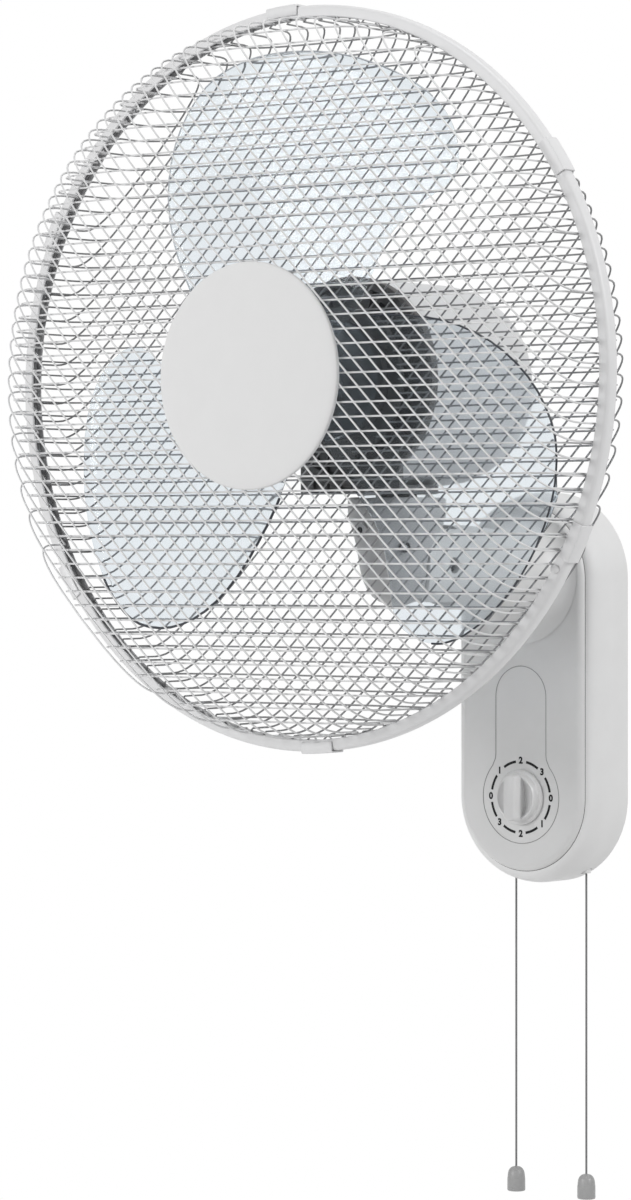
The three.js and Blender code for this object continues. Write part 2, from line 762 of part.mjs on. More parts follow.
function bladePoint(row, column, side) {
  const share = Math.min(row / (bladeRows - 1), 0.985);
  const radius = rootRadius + (tipRadius - rootRadius) * Math.sin((share * Math.PI) / 2);
  const across = column / (bladeColumns - 1);
  const { x: leading, y: trailing } = bladeEdges.getPoint(share);
  const turn = leading + (trailing - leading) * across;
  const aside = radius * Math.sin((turn - bladeHeading) * degree);
  const camber = bladeCamber * Math.sin(across * Math.PI) * Math.min(1, radius / 120);
  const slope = bladeWarp * (radius - 120) - bladePitch;
  const y = bladeMiddle + slope * aside + camber + (side * bladeThickness) / 2;
  return [radius * Math.cos(turn * degree), y, radius * Math.sin(turn * degree)];
}

function blade() {
  const points = [];
  const faces = [];
  const perSide = bladeRows * bladeColumns;
  for (const side of [-1, 1]) {
    for (let r = 0; r < bladeRows; r += 1) {
      for (let c = 0; c < bladeColumns; c += 1) points.push(...bladePoint(r, c, side));
    }
  }
  const at = (r, c) => r * bladeColumns + c;
  for (let r = 0; r + 1 < bladeRows; r += 1) {
    for (let c = 0; c + 1 < bladeColumns; c += 1) {
      const [a, b, d, e] = [at(r, c), at(r, c + 1), at(r + 1, c), at(r + 1, c + 1)];
      faces.push(a, b, e, a, e, d);
      faces.push(perSide + a, perSide + e, perSide + b, perSide + a, perSide + d, perSide + e);
    }
  }
  const edge = [];
  for (let c = 0; c < bladeColumns; c += 1) edge.push(at(0, c));
  for (let r = 1; r < bladeRows; r += 1) edge.push(at(r, bladeColumns - 1));
  for (let c = bladeColumns - 2; c >= 0; c -= 1) edge.push(at(bladeRows - 1, c));
  for (let r = bladeRows - 2; r > 0; r -= 1) edge.push(at(r, 0));
  edge.forEach((a, i) => {
    const b = edge[(i + 1) % edge.length];
    faces.push(b, a, perSide + a, b, perSide + a, perSide + b);
  });
  const geometry = new THREE.BufferGeometry();
  geometry.setAttribute('position', new THREE.Float32BufferAttribute(points, 3));
  geometry.setIndex(faces);
  return geometry;
}

function fanBlade() {
  const hub = turned([
    [0, hubFront],
    [hubRadius - 9, hubFront],
    [hubRadius - 4, hubFront + 3],
    [hubRadius - 2, hubFront + 9],
    [hubRadius, hubBack],
    [hubRadius - hubWall, hubBack],
    [hubRadius - hubWall - 2, hubFront + 10],
    [hubRadius - 8, hubFront + 4],
    [10, hubFront + 4],
    [9, hubBack + 8],
    [0, hubBack + 8],
  ]);
  const blades = [];
  for (let i = 0; i < bladeCount; i += 1) {
    blades.push(blade().rotateY((-i * 2 * Math.PI) / bladeCount));
  }
  const bore = rodY(shaftRadius + gap, hubFront - 10, hubBack + 40, 20);
  return cut(join(hub, ...blades), bore).translate(0, 0, fanHeight);
}

piece('fan_blade', fanBlade(), '#e3eaf1', 0.15);
const nutBody = turned([
  [0, hubFront - 11],
  [8, hubFront - 11],
  [11, hubFront - 8],
  [12, hubFront - gap],
  [0, hubFront - gap],
], 16);
const nutBore = rodY(shaftRadius + gap, shaftFront - 0.6, hubFront + 2);
piece('blade_nut', moved(cut(nutBody, nutBore), 0, 0, fanHeight), '#d7d9db', 0.4);

// ---------- guards ----------
// how far a layer of wires stands off the rim plane at one radius: a squared-off dome
function dome(radius, { reach, depth, power }) {
  const share = Math.min(1, radius / reach);
  return depth * (1 - share ** power) ** (1 / power);
}

// a thin wire through points that lie in one plane with the Y axis's direction
function wire(points, across, radius) {
  const places = [];
  points.forEach((point, i) => {
    const before = points[Math.max(0, i - 1)];
    const after = points[Math.min(points.length - 1, i + 1)];
    const along = after.clone().sub(before).normalize();
    const out = across.clone().cross(along).normalize();
    for (let k = 0; k < 3; k += 1) {
      const turn = (k * 2 * Math.PI) / 3;
      const spot = point.clone()
        .addScaledVector(out, radius * Math.cos(turn))
        .addScaledVector(across, radius * Math.sin(turn));
      places.push(spot.x, spot.y, spot.z);
    }
  });
  return skinned(places, points.length, 3);
}

// one straight run of the mesh, seen from the front: it passes the axis at a distance,
// bends where it crosses the shoulder's radii and ends in the rim or at the hub ring
function meshRun(offset, angle, guard, sides) {
  const along = new THREE.Vector3(Math.cos(angle), 0, Math.sin(angle));
  const aside = new THREE.Vector3(-Math.sin(angle), 0, Math.cos(angle));
  const spot = (reach, y) => (
    along.clone().multiplyScalar(reach).addScaledVector(aside, offset).setY(y)
  );
  const reachAt = (radius) => Math.sqrt(radius ** 2 - offset ** 2);
  const onDome = (reach) => (
    spot(reach, guard.rim + guard.way * dome(Math.hypot(reach, offset), guard))
  );
  const foot = guard.rim + guard.foot;
  const half = [spot(reachAt(rimRadius), foot), spot(reachAt(guard.reach), foot)];
  for (const share of shoulderRadii) {
    const radius = share * guard.reach;
    if (radius > Math.abs(offset) + wirePitch / 4) half.push(onDome(reachAt(radius)));
  }
  const mirrored = half.map((point) => spot(-point.dot(along), point.y)).reverse();
  if (!sides) return [wire([...half, onDome(0), ...mirrored], aside, wireRadius)];
  const inner = reachAt(guard.hole);
  return [
    wire([...half, onDome(inner)], aside, wireRadius),
    wire([onDome(-inner), ...mirrored], aside, wireRadius),
  ];
}

function meshFamily(angle, guard) {
  const runs = [];
  const count = Math.floor((guardRadius - wirePitch / 2) / wirePitch);
  for (let i = -count; i <= count; i += 1) {
    const offset = i * wirePitch;
    const split = guard.hole > Math.abs(offset) + wireRadius * 2;
    runs.push(...meshRun(offset, angle, guard, split));
  }
  return runs;
}

function rim(y) {
  const [inner, outer] = [rimRadius - rimHalf, rimRadius + rimHalf];
  return tubeY(inner, outer, y - rimHalf, y + rimHalf, ringSteps);
}

// the level wires lie inside, the slanted ones outside them
function guard(settings, extra) {
  const inner = {
    ...settings, reach: guardRadius - wireLayer, depth: settings.depth - wireLayer,
    foot: -settings.way * wireLayer * 0.3,
  };
  const outer = { ...settings, reach: guardRadius, foot: settings.way * wireLayer * 0.3 };
  const level = meshFamily(0, inner);
  const slanted = meshFamily(settings.slant * degree, outer);
  return join(rim(settings.rim), ...extra, ...level, ...slanted).translate(0, 0, fanHeight);
}

const frontGuard = guard({
  rim: frontRimY, way: -1, depth: frontGuardDepth, power: frontGuardPower, slant: -45, hole: 0,
}, []);
piece('front_guard', frontGuard, '#e4e5e6', 0.4, 0.3);

const hubRingBack = rearRimY + rearGuardDepth + wireRadius;
const hubRingFront = hubRingBack - wireLayer - wireRadius * 2;
const hubRing = tubeY(hubRingInner, hubRingOuter, hubRingFront, hubRingBack, round);
const rearGuard = guard({
  rim: rearRimY, way: 1, depth: rearGuardDepth, power: rearGuardPower, slant: 45,
  hole: hubRingOuter - 2,
}, [hubRing]);
piece('rear_guard', rearGuard, '#d4d5d6', 0.4, 0.3);

function clampRing() {
  const lip = ringFront + ringWall;
  const heel = ringBack - ringWall;
  const outline = [
    [ringInner, ringFront], [ringRadius - 1.2, ringFront], [ringRadius, ringFront + 1.2],
    [ringRadius, ringBack], [ringInner, ringBack],
    [ringInner, heel], [ringRadius - ringWall, heel], [ringRadius - ringWall, lip],
    [ringInner, lip], [ringInner, ringFront],
  ];
  return turned(outline, ringSteps).translate(0, 0, fanHeight);
}

// a spring clip that hooks over the outside of the ring
function ringClip(index) {
  const middle = (clipStart - index * (360 / clipCount)) * degree;
  const half = (clipAngle / 2) * degree;
  const near = ringRadius / Math.cos(Math.PI / ringSteps) + gap;
  const far = near + clipThickness;
  const low = ringFront - gap;
  const high = ringBack + gap;
  const inner = ringInner + clipReach;
  const outline = [
    [inner, low - 1.3], [far, low - 1.3], [far, high + 1.3], [inner, high + 1.3],
    [inner, high], [near, high], [near, low], [inner, low],
  ];
  const strap = arcSweep(outline, middle - half, middle + half, 3);
  return strap.translate(0, 0, fanHeight);
}

function centreDisc() {
  const back = frontRimY - frontGuardDepth - wireRadius - gap;
  return turned([
    [0, back],
    [discRadius - 2, back],
    [discRadius - 0.6, back + 1.6],
    [discRadius, back + 1.4],
    [discRadius, back - 0.6],
    [discRadius - 1, back - 1.4],
    [discRadius * 0.5, back - 1.6 - discCrown * 0.6],
    [0, back - 1.6 - discCrown],
  ], 36).translate(0, 0, fanHeight);
}

function guardNut() {
  const back = hubRingFront - gap;
  const ring = tubeY(13 + gap, hubRingInner + 4.5, back - 5, back);
  return ring.translate(0, 0, fanHeight);
}

piece('clamp_ring', clampRing(), '#dfe0e1', 0.35);
for (let i = 0; i < clipCount; i += 1) piece(`ring_clip_${i + 1}`, ringClip(i), '#e2e3e4', 0.35);
piece('centre_disc', centreDisc(), '#dededf', 0.35);
piece('guard_nut', guardNut(), '#d0d1d2', 0.4);

// ---------- swing drive ----------
function swingMotor() {
  const bottom = crankBottom + crankThickness + gap;
  const can = rodZ(swingCanRadius, bottom + 2, bottom + 14, round);
  const nose = rodZ(5, bottom, bottom + 3);
  return moved(join(can, nose), 0, crankY, 0);
}

function swingCrank() {
  const disc = rodZ(crankRadius, crankBottom, crankBottom + crankThickness, round);
  const pin = moved(rodZ(pinRadius, linkBottom, crankBottom + 1), -crankThrow, 0, 0);
  return moved(join(disc, pin), 0, crankY, 0);
}

// the link is a flat bar with a close eye at the neck and a roomy eye round the crank pin,
// wide enough for the pin's sideways drift over the whole swing
function swingLink() {
  const reach = new THREE.Vector2(-crankThrow - linkAnchorX, crankY - panY);
  const length = reach.length();
  const swing = panLimit * degree;
  const crankTurn = Math.asin((-linkAnchorX * Math.sin(swing)) / crankThrow);
  const drift = crankThrow * (1 - Math.cos(crankTurn)) + linkAnchorX * (1 - Math.cos(swing));
  const lean = drift / 2 / length;
  const bar = new THREE.Shape();
  bar.absarc(0, 0, linkHalfWidth, Math.PI, Math.PI * 2, false);
  bar.absarc(0, length, linkHalfWidth + 3.5, -Math.PI / 4, (5 * Math.PI) / 4, false);
  const close = new THREE.Path();
  close.absarc(0, 0, pinRadius + gap, 0, Math.PI * 2, true);
  const roomy = new THREE.Path();
  const [wide, long] = [pinRadius + drift / 2 + 1.4, pinRadius + 1.6];
  roomy.absellipse(0, length, wide, long, 0, Math.PI * 2, true);
  bar.holes.push(close, roomy);
  const flat = prismZ(bar, linkBottom, linkBottom + linkThickness, smallRound);
  const heading = Math.atan2(reach.y, reach.x) - Math.PI / 2 - lean;
  return flat.rotateZ(heading).translate(linkAnchorX, panY, 0);
}

piece('swing_motor', swingMotor(), '#c9ccd0', 0.4, 0.5);
piece('swing_crank', swingCrank(), '#e6e6e2', 0.5);
piece('swing_link', swingLink(), '#55585c', 0.5, 0.5);

export default root;
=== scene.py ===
import json
import math

import bmesh
import bpy
from mathutils import Matrix, Vector


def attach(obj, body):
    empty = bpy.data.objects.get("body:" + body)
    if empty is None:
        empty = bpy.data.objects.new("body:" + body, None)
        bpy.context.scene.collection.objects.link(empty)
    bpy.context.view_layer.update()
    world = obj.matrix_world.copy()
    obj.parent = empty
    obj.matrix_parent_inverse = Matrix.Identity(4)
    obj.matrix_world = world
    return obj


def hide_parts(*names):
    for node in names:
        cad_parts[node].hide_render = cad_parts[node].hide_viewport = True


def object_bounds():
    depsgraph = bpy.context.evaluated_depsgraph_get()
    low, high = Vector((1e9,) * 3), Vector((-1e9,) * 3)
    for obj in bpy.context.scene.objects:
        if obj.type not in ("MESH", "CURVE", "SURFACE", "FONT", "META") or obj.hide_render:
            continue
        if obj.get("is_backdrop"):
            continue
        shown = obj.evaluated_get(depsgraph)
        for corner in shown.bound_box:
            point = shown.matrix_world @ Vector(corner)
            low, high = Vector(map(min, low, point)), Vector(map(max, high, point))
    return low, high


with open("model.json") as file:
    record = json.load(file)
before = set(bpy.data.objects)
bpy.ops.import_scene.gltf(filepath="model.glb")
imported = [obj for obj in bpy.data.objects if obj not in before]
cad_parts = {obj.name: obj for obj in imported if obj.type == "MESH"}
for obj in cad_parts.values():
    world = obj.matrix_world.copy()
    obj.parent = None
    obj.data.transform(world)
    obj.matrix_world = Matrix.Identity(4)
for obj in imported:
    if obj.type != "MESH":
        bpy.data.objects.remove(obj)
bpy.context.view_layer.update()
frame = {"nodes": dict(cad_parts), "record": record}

MM = 0.001

# places, as in the part's source, in millimetres: x to the right, y into the wall, z up
GAP = 0.3  # clearance between pieces
FAN_Z = 188.0  # height of the fan's axis
RING_FRONT, RING_DEPTH, RING_WALL = -264.5, 9.0, 1.3
RING_BACK = RING_FRONT + RING_DEPTH
RING_RADIUS, RING_INNER = 220.0, 213.0
GUARD_RADIUS, RIM_RADIUS, RIM_HALF = 211.4, 216.2, 1.35
FRONT_RIM = RING_FRONT + RING_WALL + GAP + RIM_HALF
REAR_RIM = RING_BACK - RING_WALL - GAP - RIM_HALF
FRONT_DEPTH, REAR_DEPTH = 50, 37  # how far the guards reach from their rims
BOX_W, BOX_S, BOX_D = 55.0, 69.0, 40.0  # wall box: half width, half spacing of its ends, depth
DIAL_Z, ARM_Z = -69.0, 71.0
TILT_Y, TILT_Z, PAN_Y = -143.5, 78.0, -169.5
PANEL_FACE = -40.0


def linked(name, data):
    """A new object in the scene."""
    item = bpy.data.objects.new(name, data)
    bpy.context.scene.collection.objects.link(item)
    return item


# ---------- camera ----------
camera_data = bpy.data.cameras.new("camera")
camera = linked("camera", camera_data)
camera.location = (1.4957, -2.1414, 0.0791)
camera.rotation_euler = (math.radians(90), 0, math.radians(38.33))
camera_data.sensor_width = 36
camera_data.lens = 122.07
camera_data.shift_y = -0.0306
camera_data.clip_start = 0.05
camera_data.clip_end = 50
bpy.context.scene.camera = camera


# ---------- mesh helpers ----------
def raw_piece(name, points, faces):
    mesh = bpy.data.meshes.new(name)
    mesh.from_pydata([(x * MM, y * MM, z * MM) for x, y, z in points], [], faces)
    return linked(name, mesh)


def mesh_piece(name, points, faces, body, material, sharp=32, nodes=(), slot=None):
    """A finished piece from points in millimetres and faces."""
    piece = raw_piece(name, points, faces)
    piece.data.validate()
    return finished(piece, body, material, sharp, nodes)


def finished(piece, body, material, sharp=32, nodes=()):
    """Shades the piece, smooth up to the sharp angle, gives it its material, hangs it on its body
    and hides the CAD nodes it replaces.
    """
    outward(piece.data)
    piece.data.shade_smooth()
    piece.data.set_sharp_from_angle(angle=math.radians(sharp))
    piece.data.materials.clear()
    piece.data.materials.append(material)
    if body:
        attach(piece, body)
    if nodes:
        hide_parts(*nodes)
    return piece


def outward(mesh):
    """Joins points that coincide and turns all faces outward."""
    work = bmesh.new()
    work.from_mesh(mesh)
    bmesh.ops.remove_doubles(work, verts=work.verts, dist=1e-7)
    bmesh.ops.recalc_face_normals(work, faces=work.faces)
    work.to_mesh(mesh)
    work.free()


def loose(name, shape):
    """A piece to cut or join with others before it is finished."""
    piece = raw_piece(name, *shape)
    outward(piece.data)
    return piece


def raised(piece, height):
    piece.data.transform(Matrix.Translation((0, 0, height * MM)))


def as_shape(mesh):
    """A mesh in metres as points in millimetres and faces."""
    return [tuple(v.co / MM) for v in mesh.vertices], [tuple(p.vertices) for p in mesh.polygons]


def evaluated_mesh(item):
    bpy.context.view_layer.update()
    made = item.evaluated_get(bpy.context.evaluated_depsgraph_get())
    return bpy.data.meshes.new_from_object(made)


def combine(piece, shape, operation):
    """Applies one boolean to the piece with another shape, and drops the tool."""
    tool = loose("tool", shape)
    change = piece.modifiers.new("boolean", "BOOLEAN")
    change.operation, change.object, change.solver = operation, tool, "EXACT"
    mesh = evaluated_mesh(piece)
    piece.modifiers.clear()
    piece.data = mesh
    bpy.data.objects.remove(tool)


def merged(*shapes):
    """One shape of several, each a pair of points and faces."""
    points, faces = [], []
    for more_points, more_faces in shapes:
        start = len(points)
        points += list(more_points)
        faces += [tuple(start + i for i in face) for face in more_faces]
    return points, faces


def shifted(shape, x, y, z):
    points, faces = shape
    return [(a + x, b + y, c + z) for a, b, c in points], faces


def rings(stack, closed=False, caps=True):
    """Skins a stack of equal rings of points."""
    n, count = len(stack[0]), len(stack)
    points = [p for ring in stack for p in ring]
    faces = []
    for k in range(count if closed else count - 1):
        low, high = k * n, ((k + 1) % count) * n
        for i in range(n):
            j = (i + 1) % n
            faces.append((low + i, low + j, high + j, high + i))
    if caps and not closed:
        faces.append(tuple(range(n)))
        faces.append(tuple((count - 1) * n + i for i in range(n)))
    return points, faces


def lathe(profile, steps=96, axis="Y"):
    """Turns (radius, height) pairs about an axis. Ends at radius 0 close in a point."""
    stack = []
    for k in range(steps):
        angle = 2 * math.pi * k / steps
        c, s = math.cos(angle), math.sin(angle)
        if axis == "X":
            stack.append([(h, r * c, r * s) for r, h in profile])
        elif axis == "Y":
            stack.append([(r * c, h, r * s) for r, h in profile])
        else:
            stack.append([(r * c, r * s, h) for r, h in profile])
    n = len(profile)
    points = [p for ring in stack for p in ring]
    open_ends = abs(profile[0][0]) < 1e-6 and abs(profile[-1][0]) < 1e-6
    faces = []
    for k in range(steps):
        low, high = k * n, ((k + 1) % steps) * n
        for i in range(n - 1 if open_ends else n):
            j = (i + 1) % n
            quad = [low + i, low + j, high + j, high + i]
            if open_ends and i == 0:
                quad = [low, low + 1, high + 1]
            elif open_ends and i == n - 2:
                quad = [low + i, low + j, high + i]
            faces.append(tuple(quad))
    return points, faces


def rod(radius, a, b, axis="Y", steps=48):
    return lathe([(0, a), (radius, a), (radius, b), (0, b)], steps, axis)


def box(x0, x1, y0, y1, z0, z1):
    points = [(x, y, z) for z in (z0, z1) for y in (y0, y1) for x in (x0, x1)]
    faces = [(0, 1, 3, 2), (4, 6, 7, 5), (0, 4, 5, 1), (2, 3, 7, 6), (0, 2, 6, 4), (1, 5, 7, 3)]
    return points, faces


def pill(half_width, y, half_spacing=BOX_S, height=0.0, arc=48):
    """A ring of points: two half circles, above and below, with straight sides."""
    ring = []
    for i in range(2 * (arc + 1)):
        lower = i > arc
        angle = math.pi * (i - 1 if lower else i) / arc
        end = -half_spacing if lower else half_spacing
        ring.append((half_width * math.cos(angle), y, height + end + half_width * math.sin(angle)))
    return ring


def curve_between(values, per=6):
    """Catmull-Rom through tuples of numbers."""
    out = []
    for i in range(len(values) - 1):
        p0 = values[max(0, i - 1)]
        p1, p2 = values[i], values[i + 1]
        p3 = values[min(len(values) - 1, i + 2)]
        for k in range(per):
            t = k / per
            out.append(tuple(
                0.5 * (2 * b + (c - a) * t + (2 * a - 5 * b + 4 * c - d) * t * t
                       + (3 * b - a - 3 * c + d) * t ** 3)
                for a, b, c, d in zip(p0, p1, p2, p3)
            ))
    out.append(tuple(values[-1]))
    return out


def tube(path, radius, sides=6, closed=False):
    """A round tube along points, with a frame carried along without twist."""
    path = [Vector(p) for p in path]
    n = len(path)
    stack = []
    normal = None
    for i, p in enumerate(path):
        before = path[(i - 1) % n] if closed else path[max(0, i - 1)]
        after = path[(i + 1) % n] if closed else path[min(n - 1, i + 1)]
        along = (after - before).normalized()
        if normal is None:
            normal = along.orthogonal().normalized()
        normal = (normal - along * normal.dot(along)).normalized()
        other = along.cross(normal)
        stack.append([
            tuple(p + radius * (math.cos(a) * normal + math.sin(a) * other))
            for a in (2 * math.pi * k / sides for k in range(sides))
        ])
    return rings(stack, closed=closed)


# ---------- materials ----------
def shader(
    name, color, roughness, spread=0.03, scale=60.0, bump=0.05, bump_scale=900.0, metallic=0.0,
    **sockets,
):
    """Moulded or painted surface: slight cloudiness in colour and gloss and a fine grain."""
    material = bpy.data.materials.new(name)
    material.use_nodes = True
    tree = material.node_tree
    base = tree.nodes["Principled BSDF"]
    place = tree.nodes.new("ShaderNodeTexCoord")
    cloud = tree.nodes.new("ShaderNodeTexNoise")
    cloud.inputs["Scale"].default_value = scale
    cloud.inputs["Detail"].default_value = 3
    tint = tree.nodes.new("ShaderNodeValToRGB")
    low, high = tint.color_ramp.elements
    low.position, high.position = 0.3, 0.7
    low.color = (*[c * (1 - spread) for c in color], 1)
    high.color = (*[min(1, c * (1 + spread)) for c in color], 1)
    gloss = tree.nodes.new("ShaderNodeMapRange")
    gloss.inputs["To Min"].default_value = roughness * 0.88
    gloss.inputs["To Max"].default_value = min(1, roughness * 1.12)
    grain = tree.nodes.new("ShaderNodeTexNoise")
    grain.inputs["Scale"].default_value = bump_scale
    grain.inputs["Detail"].default_value = 2
    relief = tree.nodes.new("ShaderNodeBump")
    relief.inputs["Strength"].default_value = bump
    relief.inputs["Distance"].default_value = 0.0003
    link = tree.links.new
    link(place.outputs["Object"], cloud.inputs["Vector"])
    link(place.outputs["Object"], grain.inputs["Vector"])
    link(cloud.outputs["Fac"], tint.inputs["Fac"])
    link(cloud.outputs["Fac"], gloss.inputs["Value"])
    link(tint.outputs["Color"], base.inputs["Base Color"])
    link(gloss.outputs["Result"], base.inputs["Roughness"])
    link(grain.outputs["Fac"], relief.inputs["Height"])
    link(relief.outputs["Normal"], base.inputs["Normal"])
    base.inputs["Metallic"].default_value = metallic
    for socket, value in sockets.items():
        base.inputs[socket.replace("_", " ")].default_value = value
    return material


white = shader("white_body", (0.74, 0.74, 0.74), 0.5, 0.012, Specular_IOR_Level=0.3)
panel_grey = shader("panel_body", (0.65, 0.65, 0.65), 0.42, 0.015, bump=0.08)
disc_white = shader("disc_body", (0.75, 0.75, 0.75), 0.6, 0.01, Specular_IOR_Level=0.25)
ring_white = shader("ring_body", (0.71, 0.71, 0.715), 0.42, 0.012)
wire_white = shader("wire_coat", (0.7, 0.7, 0.705), 0.32, 0.03, 120, 0.05)
# the rear guard's wires have the same white coat as the front ones; this darker copy is painted
# shade
rear_wire_painted_shade = shader("wire_coat_rear_painted_shade", (0.27, 0.27, 0.275), 0.32, 0.03, 120, 0.05)
knob_white = shader("knob_body", (0.66, 0.66, 0.66), 0.33, 0.01)
neck_grey = shader("neck_body", (0.42, 0.42, 0.425), 0.42, 0.02)
dark = shader("dark_body", (0.075, 0.074, 0.074), 0.48, 0.08, 40, 0.1)
darker = shader("deep_body", (0.03, 0.031, 0.033), 0.5, 0.1, 40, 0.1)
# the motor's rear cover is white plastic; this greyer copy is painted shade behind the blades and
# guard
cover_painted_shade = shader("cover_body", (0.6, 0.605, 0.615), 0.42, 0.02)
print_dark = shader("dial_print", (0.008, 0.008, 0.009), 0.55, 0.1, Specular_IOR_Level=0.2)
seam_grey = shader("seam", (0.27, 0.27, 0.27), 0.5, 0.05)
# dark tube in the panel's gap: painted shade
gap_painted_shade = shader("gap", (0.045, 0.045, 0.045), 0.6, 0.05)
bell_grey = shader("bell_body", (0.33, 0.33, 0.33), 0.42, 0.03)
steel = shader("zinc", (0.55, 0.56, 0.57), 0.35, 0.06, 200, 0.1, metallic=0.9)
core = shader("laminations", (0.32, 0.33, 0.34), 0.45, 0.08, 200, 0.15, metallic=0.9)
aluminium = shader("casting", (0.6, 0.61, 0.62), 0.45, 0.05, 150, 0.3, 700, metallic=0.8)
copper = shader("windings", (0.5, 0.2, 0.07), 0.4, 0.15, 300, 0.6, 500, metallic=0.7)
blade_tint = shader(
    "blade_body", (0.80, 0.845, 0.88), 0.06, 0.012, 25, 0.01,
    Transmission_Weight=0.975, IOR=1.18,
)
# the two edge materials are painted shade: lines along the clear blades' edges, softer on the top
# blade
blade_soft_painted_shade = shader("blade_soft_painted_shade", (0.6, 0.64, 0.68), 0.3, 0.03, Alpha=0.5)
blade_edge_painted_shade = shader("blade_edge_painted_shade", (0.03, 0.035, 0.045), 0.35, 0.05)


def cord_shader():
    """Twisted cord: fine strands that wind round it."""
    material = shader("cord_body", (0.17, 0.17, 0.172), 0.75, 0.04, 400, 0.2, 2500)
    tree = material.node_tree
    strands = tree.nodes.new("ShaderNodeTexWave")
    strands.bands_direction = "Z"
    strands.inputs["Scale"].default_value = 330
    strands.inputs["Distortion"].default_value = 1.5
    place = [n for n in tree.nodes if n.type == "TEX_COORD"][0]
    relief = [n for n in tree.nodes if n.type == "BUMP"][0]
    tree.links.new(place.outputs["Object"], strands.inputs["Vector"])
    tree.links.new(strands.outputs["Fac"], relief.inputs["Height"])
    return material


cord_grey = cord_shader()

# ---------- pull cords ----------
CORD_X, CORD_Y, CORD_R, CORD_SPANS = 27.3, -6.6, 0.65, 30
CORD_EXIT = -(BOX_S + math.sqrt(BOX_W ** 2 - CORD_X ** 2))
CORD_TOP, CORD_END = CORD_EXIT + 44, CORD_EXIT - 192  # inside the box, and hanging below it

for side_name, side in (("left", -1), ("right", 1)):
    line = bpy.data.curves.new(f"cord_{side_name}", "CURVE")
    line.dimensions = "3D"
    line.bevel_depth = CORD_R * MM
    line.bevel_resolution = 3
    line.use_fill_caps = True
    spline = line.splines.new("POLY")
    spline.points.add(CORD_SPANS)
    for i in range(CORD_SPANS + 1):
        z = CORD_TOP + (CORD_END - CORD_TOP) * i / CORD_SPANS
        spline.points[i].co = (side * CORD_X * MM, CORD_Y * MM, z * MM, 1)
    line.materials.append(cord_grey)
    cord_piece = linked(f"cord_{side_name}", line)
    body = f"{side_name}_pull"
    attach(cord_piece, body)
    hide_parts(f"pull_cord_{side_name}")
    top = CORD_END - GAP
    bell_shape = lathe([
        (0, top), (1.9, top), (3.1, top - 0.45), (4.1, top - 1.3), (4.85, top - 2.5),
        (5.3, top - 3.9), (5.52, top - 5.5), (5.6, top - 6.9), (5.72, top - 7.05),
        (5.75, top - 7.4), (5.8, top - 14.5), (5.6, top - 15.3), (5.1, top - 15.5),
        (4.4, top - 15.5), (4.3, top - 13.5), (0, top - 13.0),
    ], 48, "Z")
    bell = mesh_piece(
        f"bell_{side_name}", *shifted(bell_shape, side * CORD_X, CORD_Y, 0), body, bell_grey,
        nodes=[f"cord_bell_{side_name}"], slot="bell_plastic",
    )


# ---------- guards ----------
PITCH, WIRE, LAYER = 8.4, 0.59, 2.1  # wires: spacing, radius, and the step between the two families
STAGGER = LAYER * 0.3  # how far each family's feet stand off the middle of the rim
FRONT_SHOULDER, REAR_SHOULDER = 4.8, 6  # a higher power makes a squarer shoulder
SHOULDER_STEPS, SHOULDER_EASE = 15, 1.15
HUB_HOLE = 43


def guard_wires(angle, rim, way, reach, depth, power, foot, hole=0.0, sides=6):
    """A family of parallel wires, each bent over the shoulder to the rim on both sides.

    Way is the sign of y away from the rim, reach and depth are the guard's size, foot is where
    the wires meet the rim, and wires that cross the hole end at its edge.
    """
    along = Vector((math.cos(angle), 0, math.sin(angle)))
    aside = Vector((-math.sin(angle), 0, math.cos(angle)))
    shapes = []
    count = int((reach - 3) // PITCH)
    for number in range(-count, count + 1):
        offset = number * PITCH
        start = math.asin(min(1, (max(abs(offset), 0.01) / reach) ** (power / 2)))

        def spot(s, y):
            p = along * s + aside * offset
            return (p.x, y, p.z + FAN_Z)

        half = [spot(math.sqrt(RIM_RADIUS ** 2 - offset ** 2), rim + foot)]
        for k in range(SHOULDER_STEPS):
            share = k / SHOULDER_STEPS
            t = math.pi / 2 - (math.pi / 2 - start) * share ** SHOULDER_EASE
            r = reach * math.sin(t) ** (2 / power)
            y = rim + foot + way * (depth - abs(foot)) * max(0.0, math.cos(t)) ** (2 / power)
            s = math.sqrt(max(0, r * r - offset * offset))
            if s < max(hole and math.sqrt(max(0, hole ** 2 - offset ** 2)), 4):
                continue
            half.append(spot(s, y))
        mirrored = []
        for x, y, z in half:
            s = Vector((x, 0, z - FAN_Z)).dot(along)
            mirrored.append(spot(-s, y))
        if hole > abs(offset):
            inner = math.sqrt(hole ** 2 - offset ** 2)
            y = half[-1][1]
            shapes.append(tube(half + [spot(inner, y)], WIRE, sides))
            shapes.append(tube(mirrored + [spot(-inner, y)], WIRE, sides))
        else:
            rise = (1 - (abs(offset) / reach) ** power) ** (1 / power)
            centre = rim + foot + way * (depth - abs(foot)) * rise
            shapes.append(tube(half + [spot(0, centre)] + mirrored[::-1], WIRE, sides))
    return merged(*shapes)


def rim_ring(y):
    path = [
        (RIM_RADIUS * math.cos(a), y, FAN_Z + RIM_RADIUS * math.sin(a))
        for a in (2 * math.pi * k / 180 for k in range(180))
    ]
    return tube(path, RIM_HALF, 10, closed=True)


front_shape = merged(
    guard_wires(
        0, FRONT_RIM, -1, GUARD_RADIUS - LAYER, FRONT_DEPTH - LAYER, FRONT_SHOULDER, STAGGER,
    ),
    guard_wires(
        math.radians(-45), FRONT_RIM, -1, GUARD_RADIUS, FRONT_DEPTH, FRONT_SHOULDER, -STAGGER,
    ),
    rim_ring(FRONT_RIM),
)
mesh_piece("guard_front", *front_shape, "head", wire_white, 60, ["front_guard"], "guard_wire")

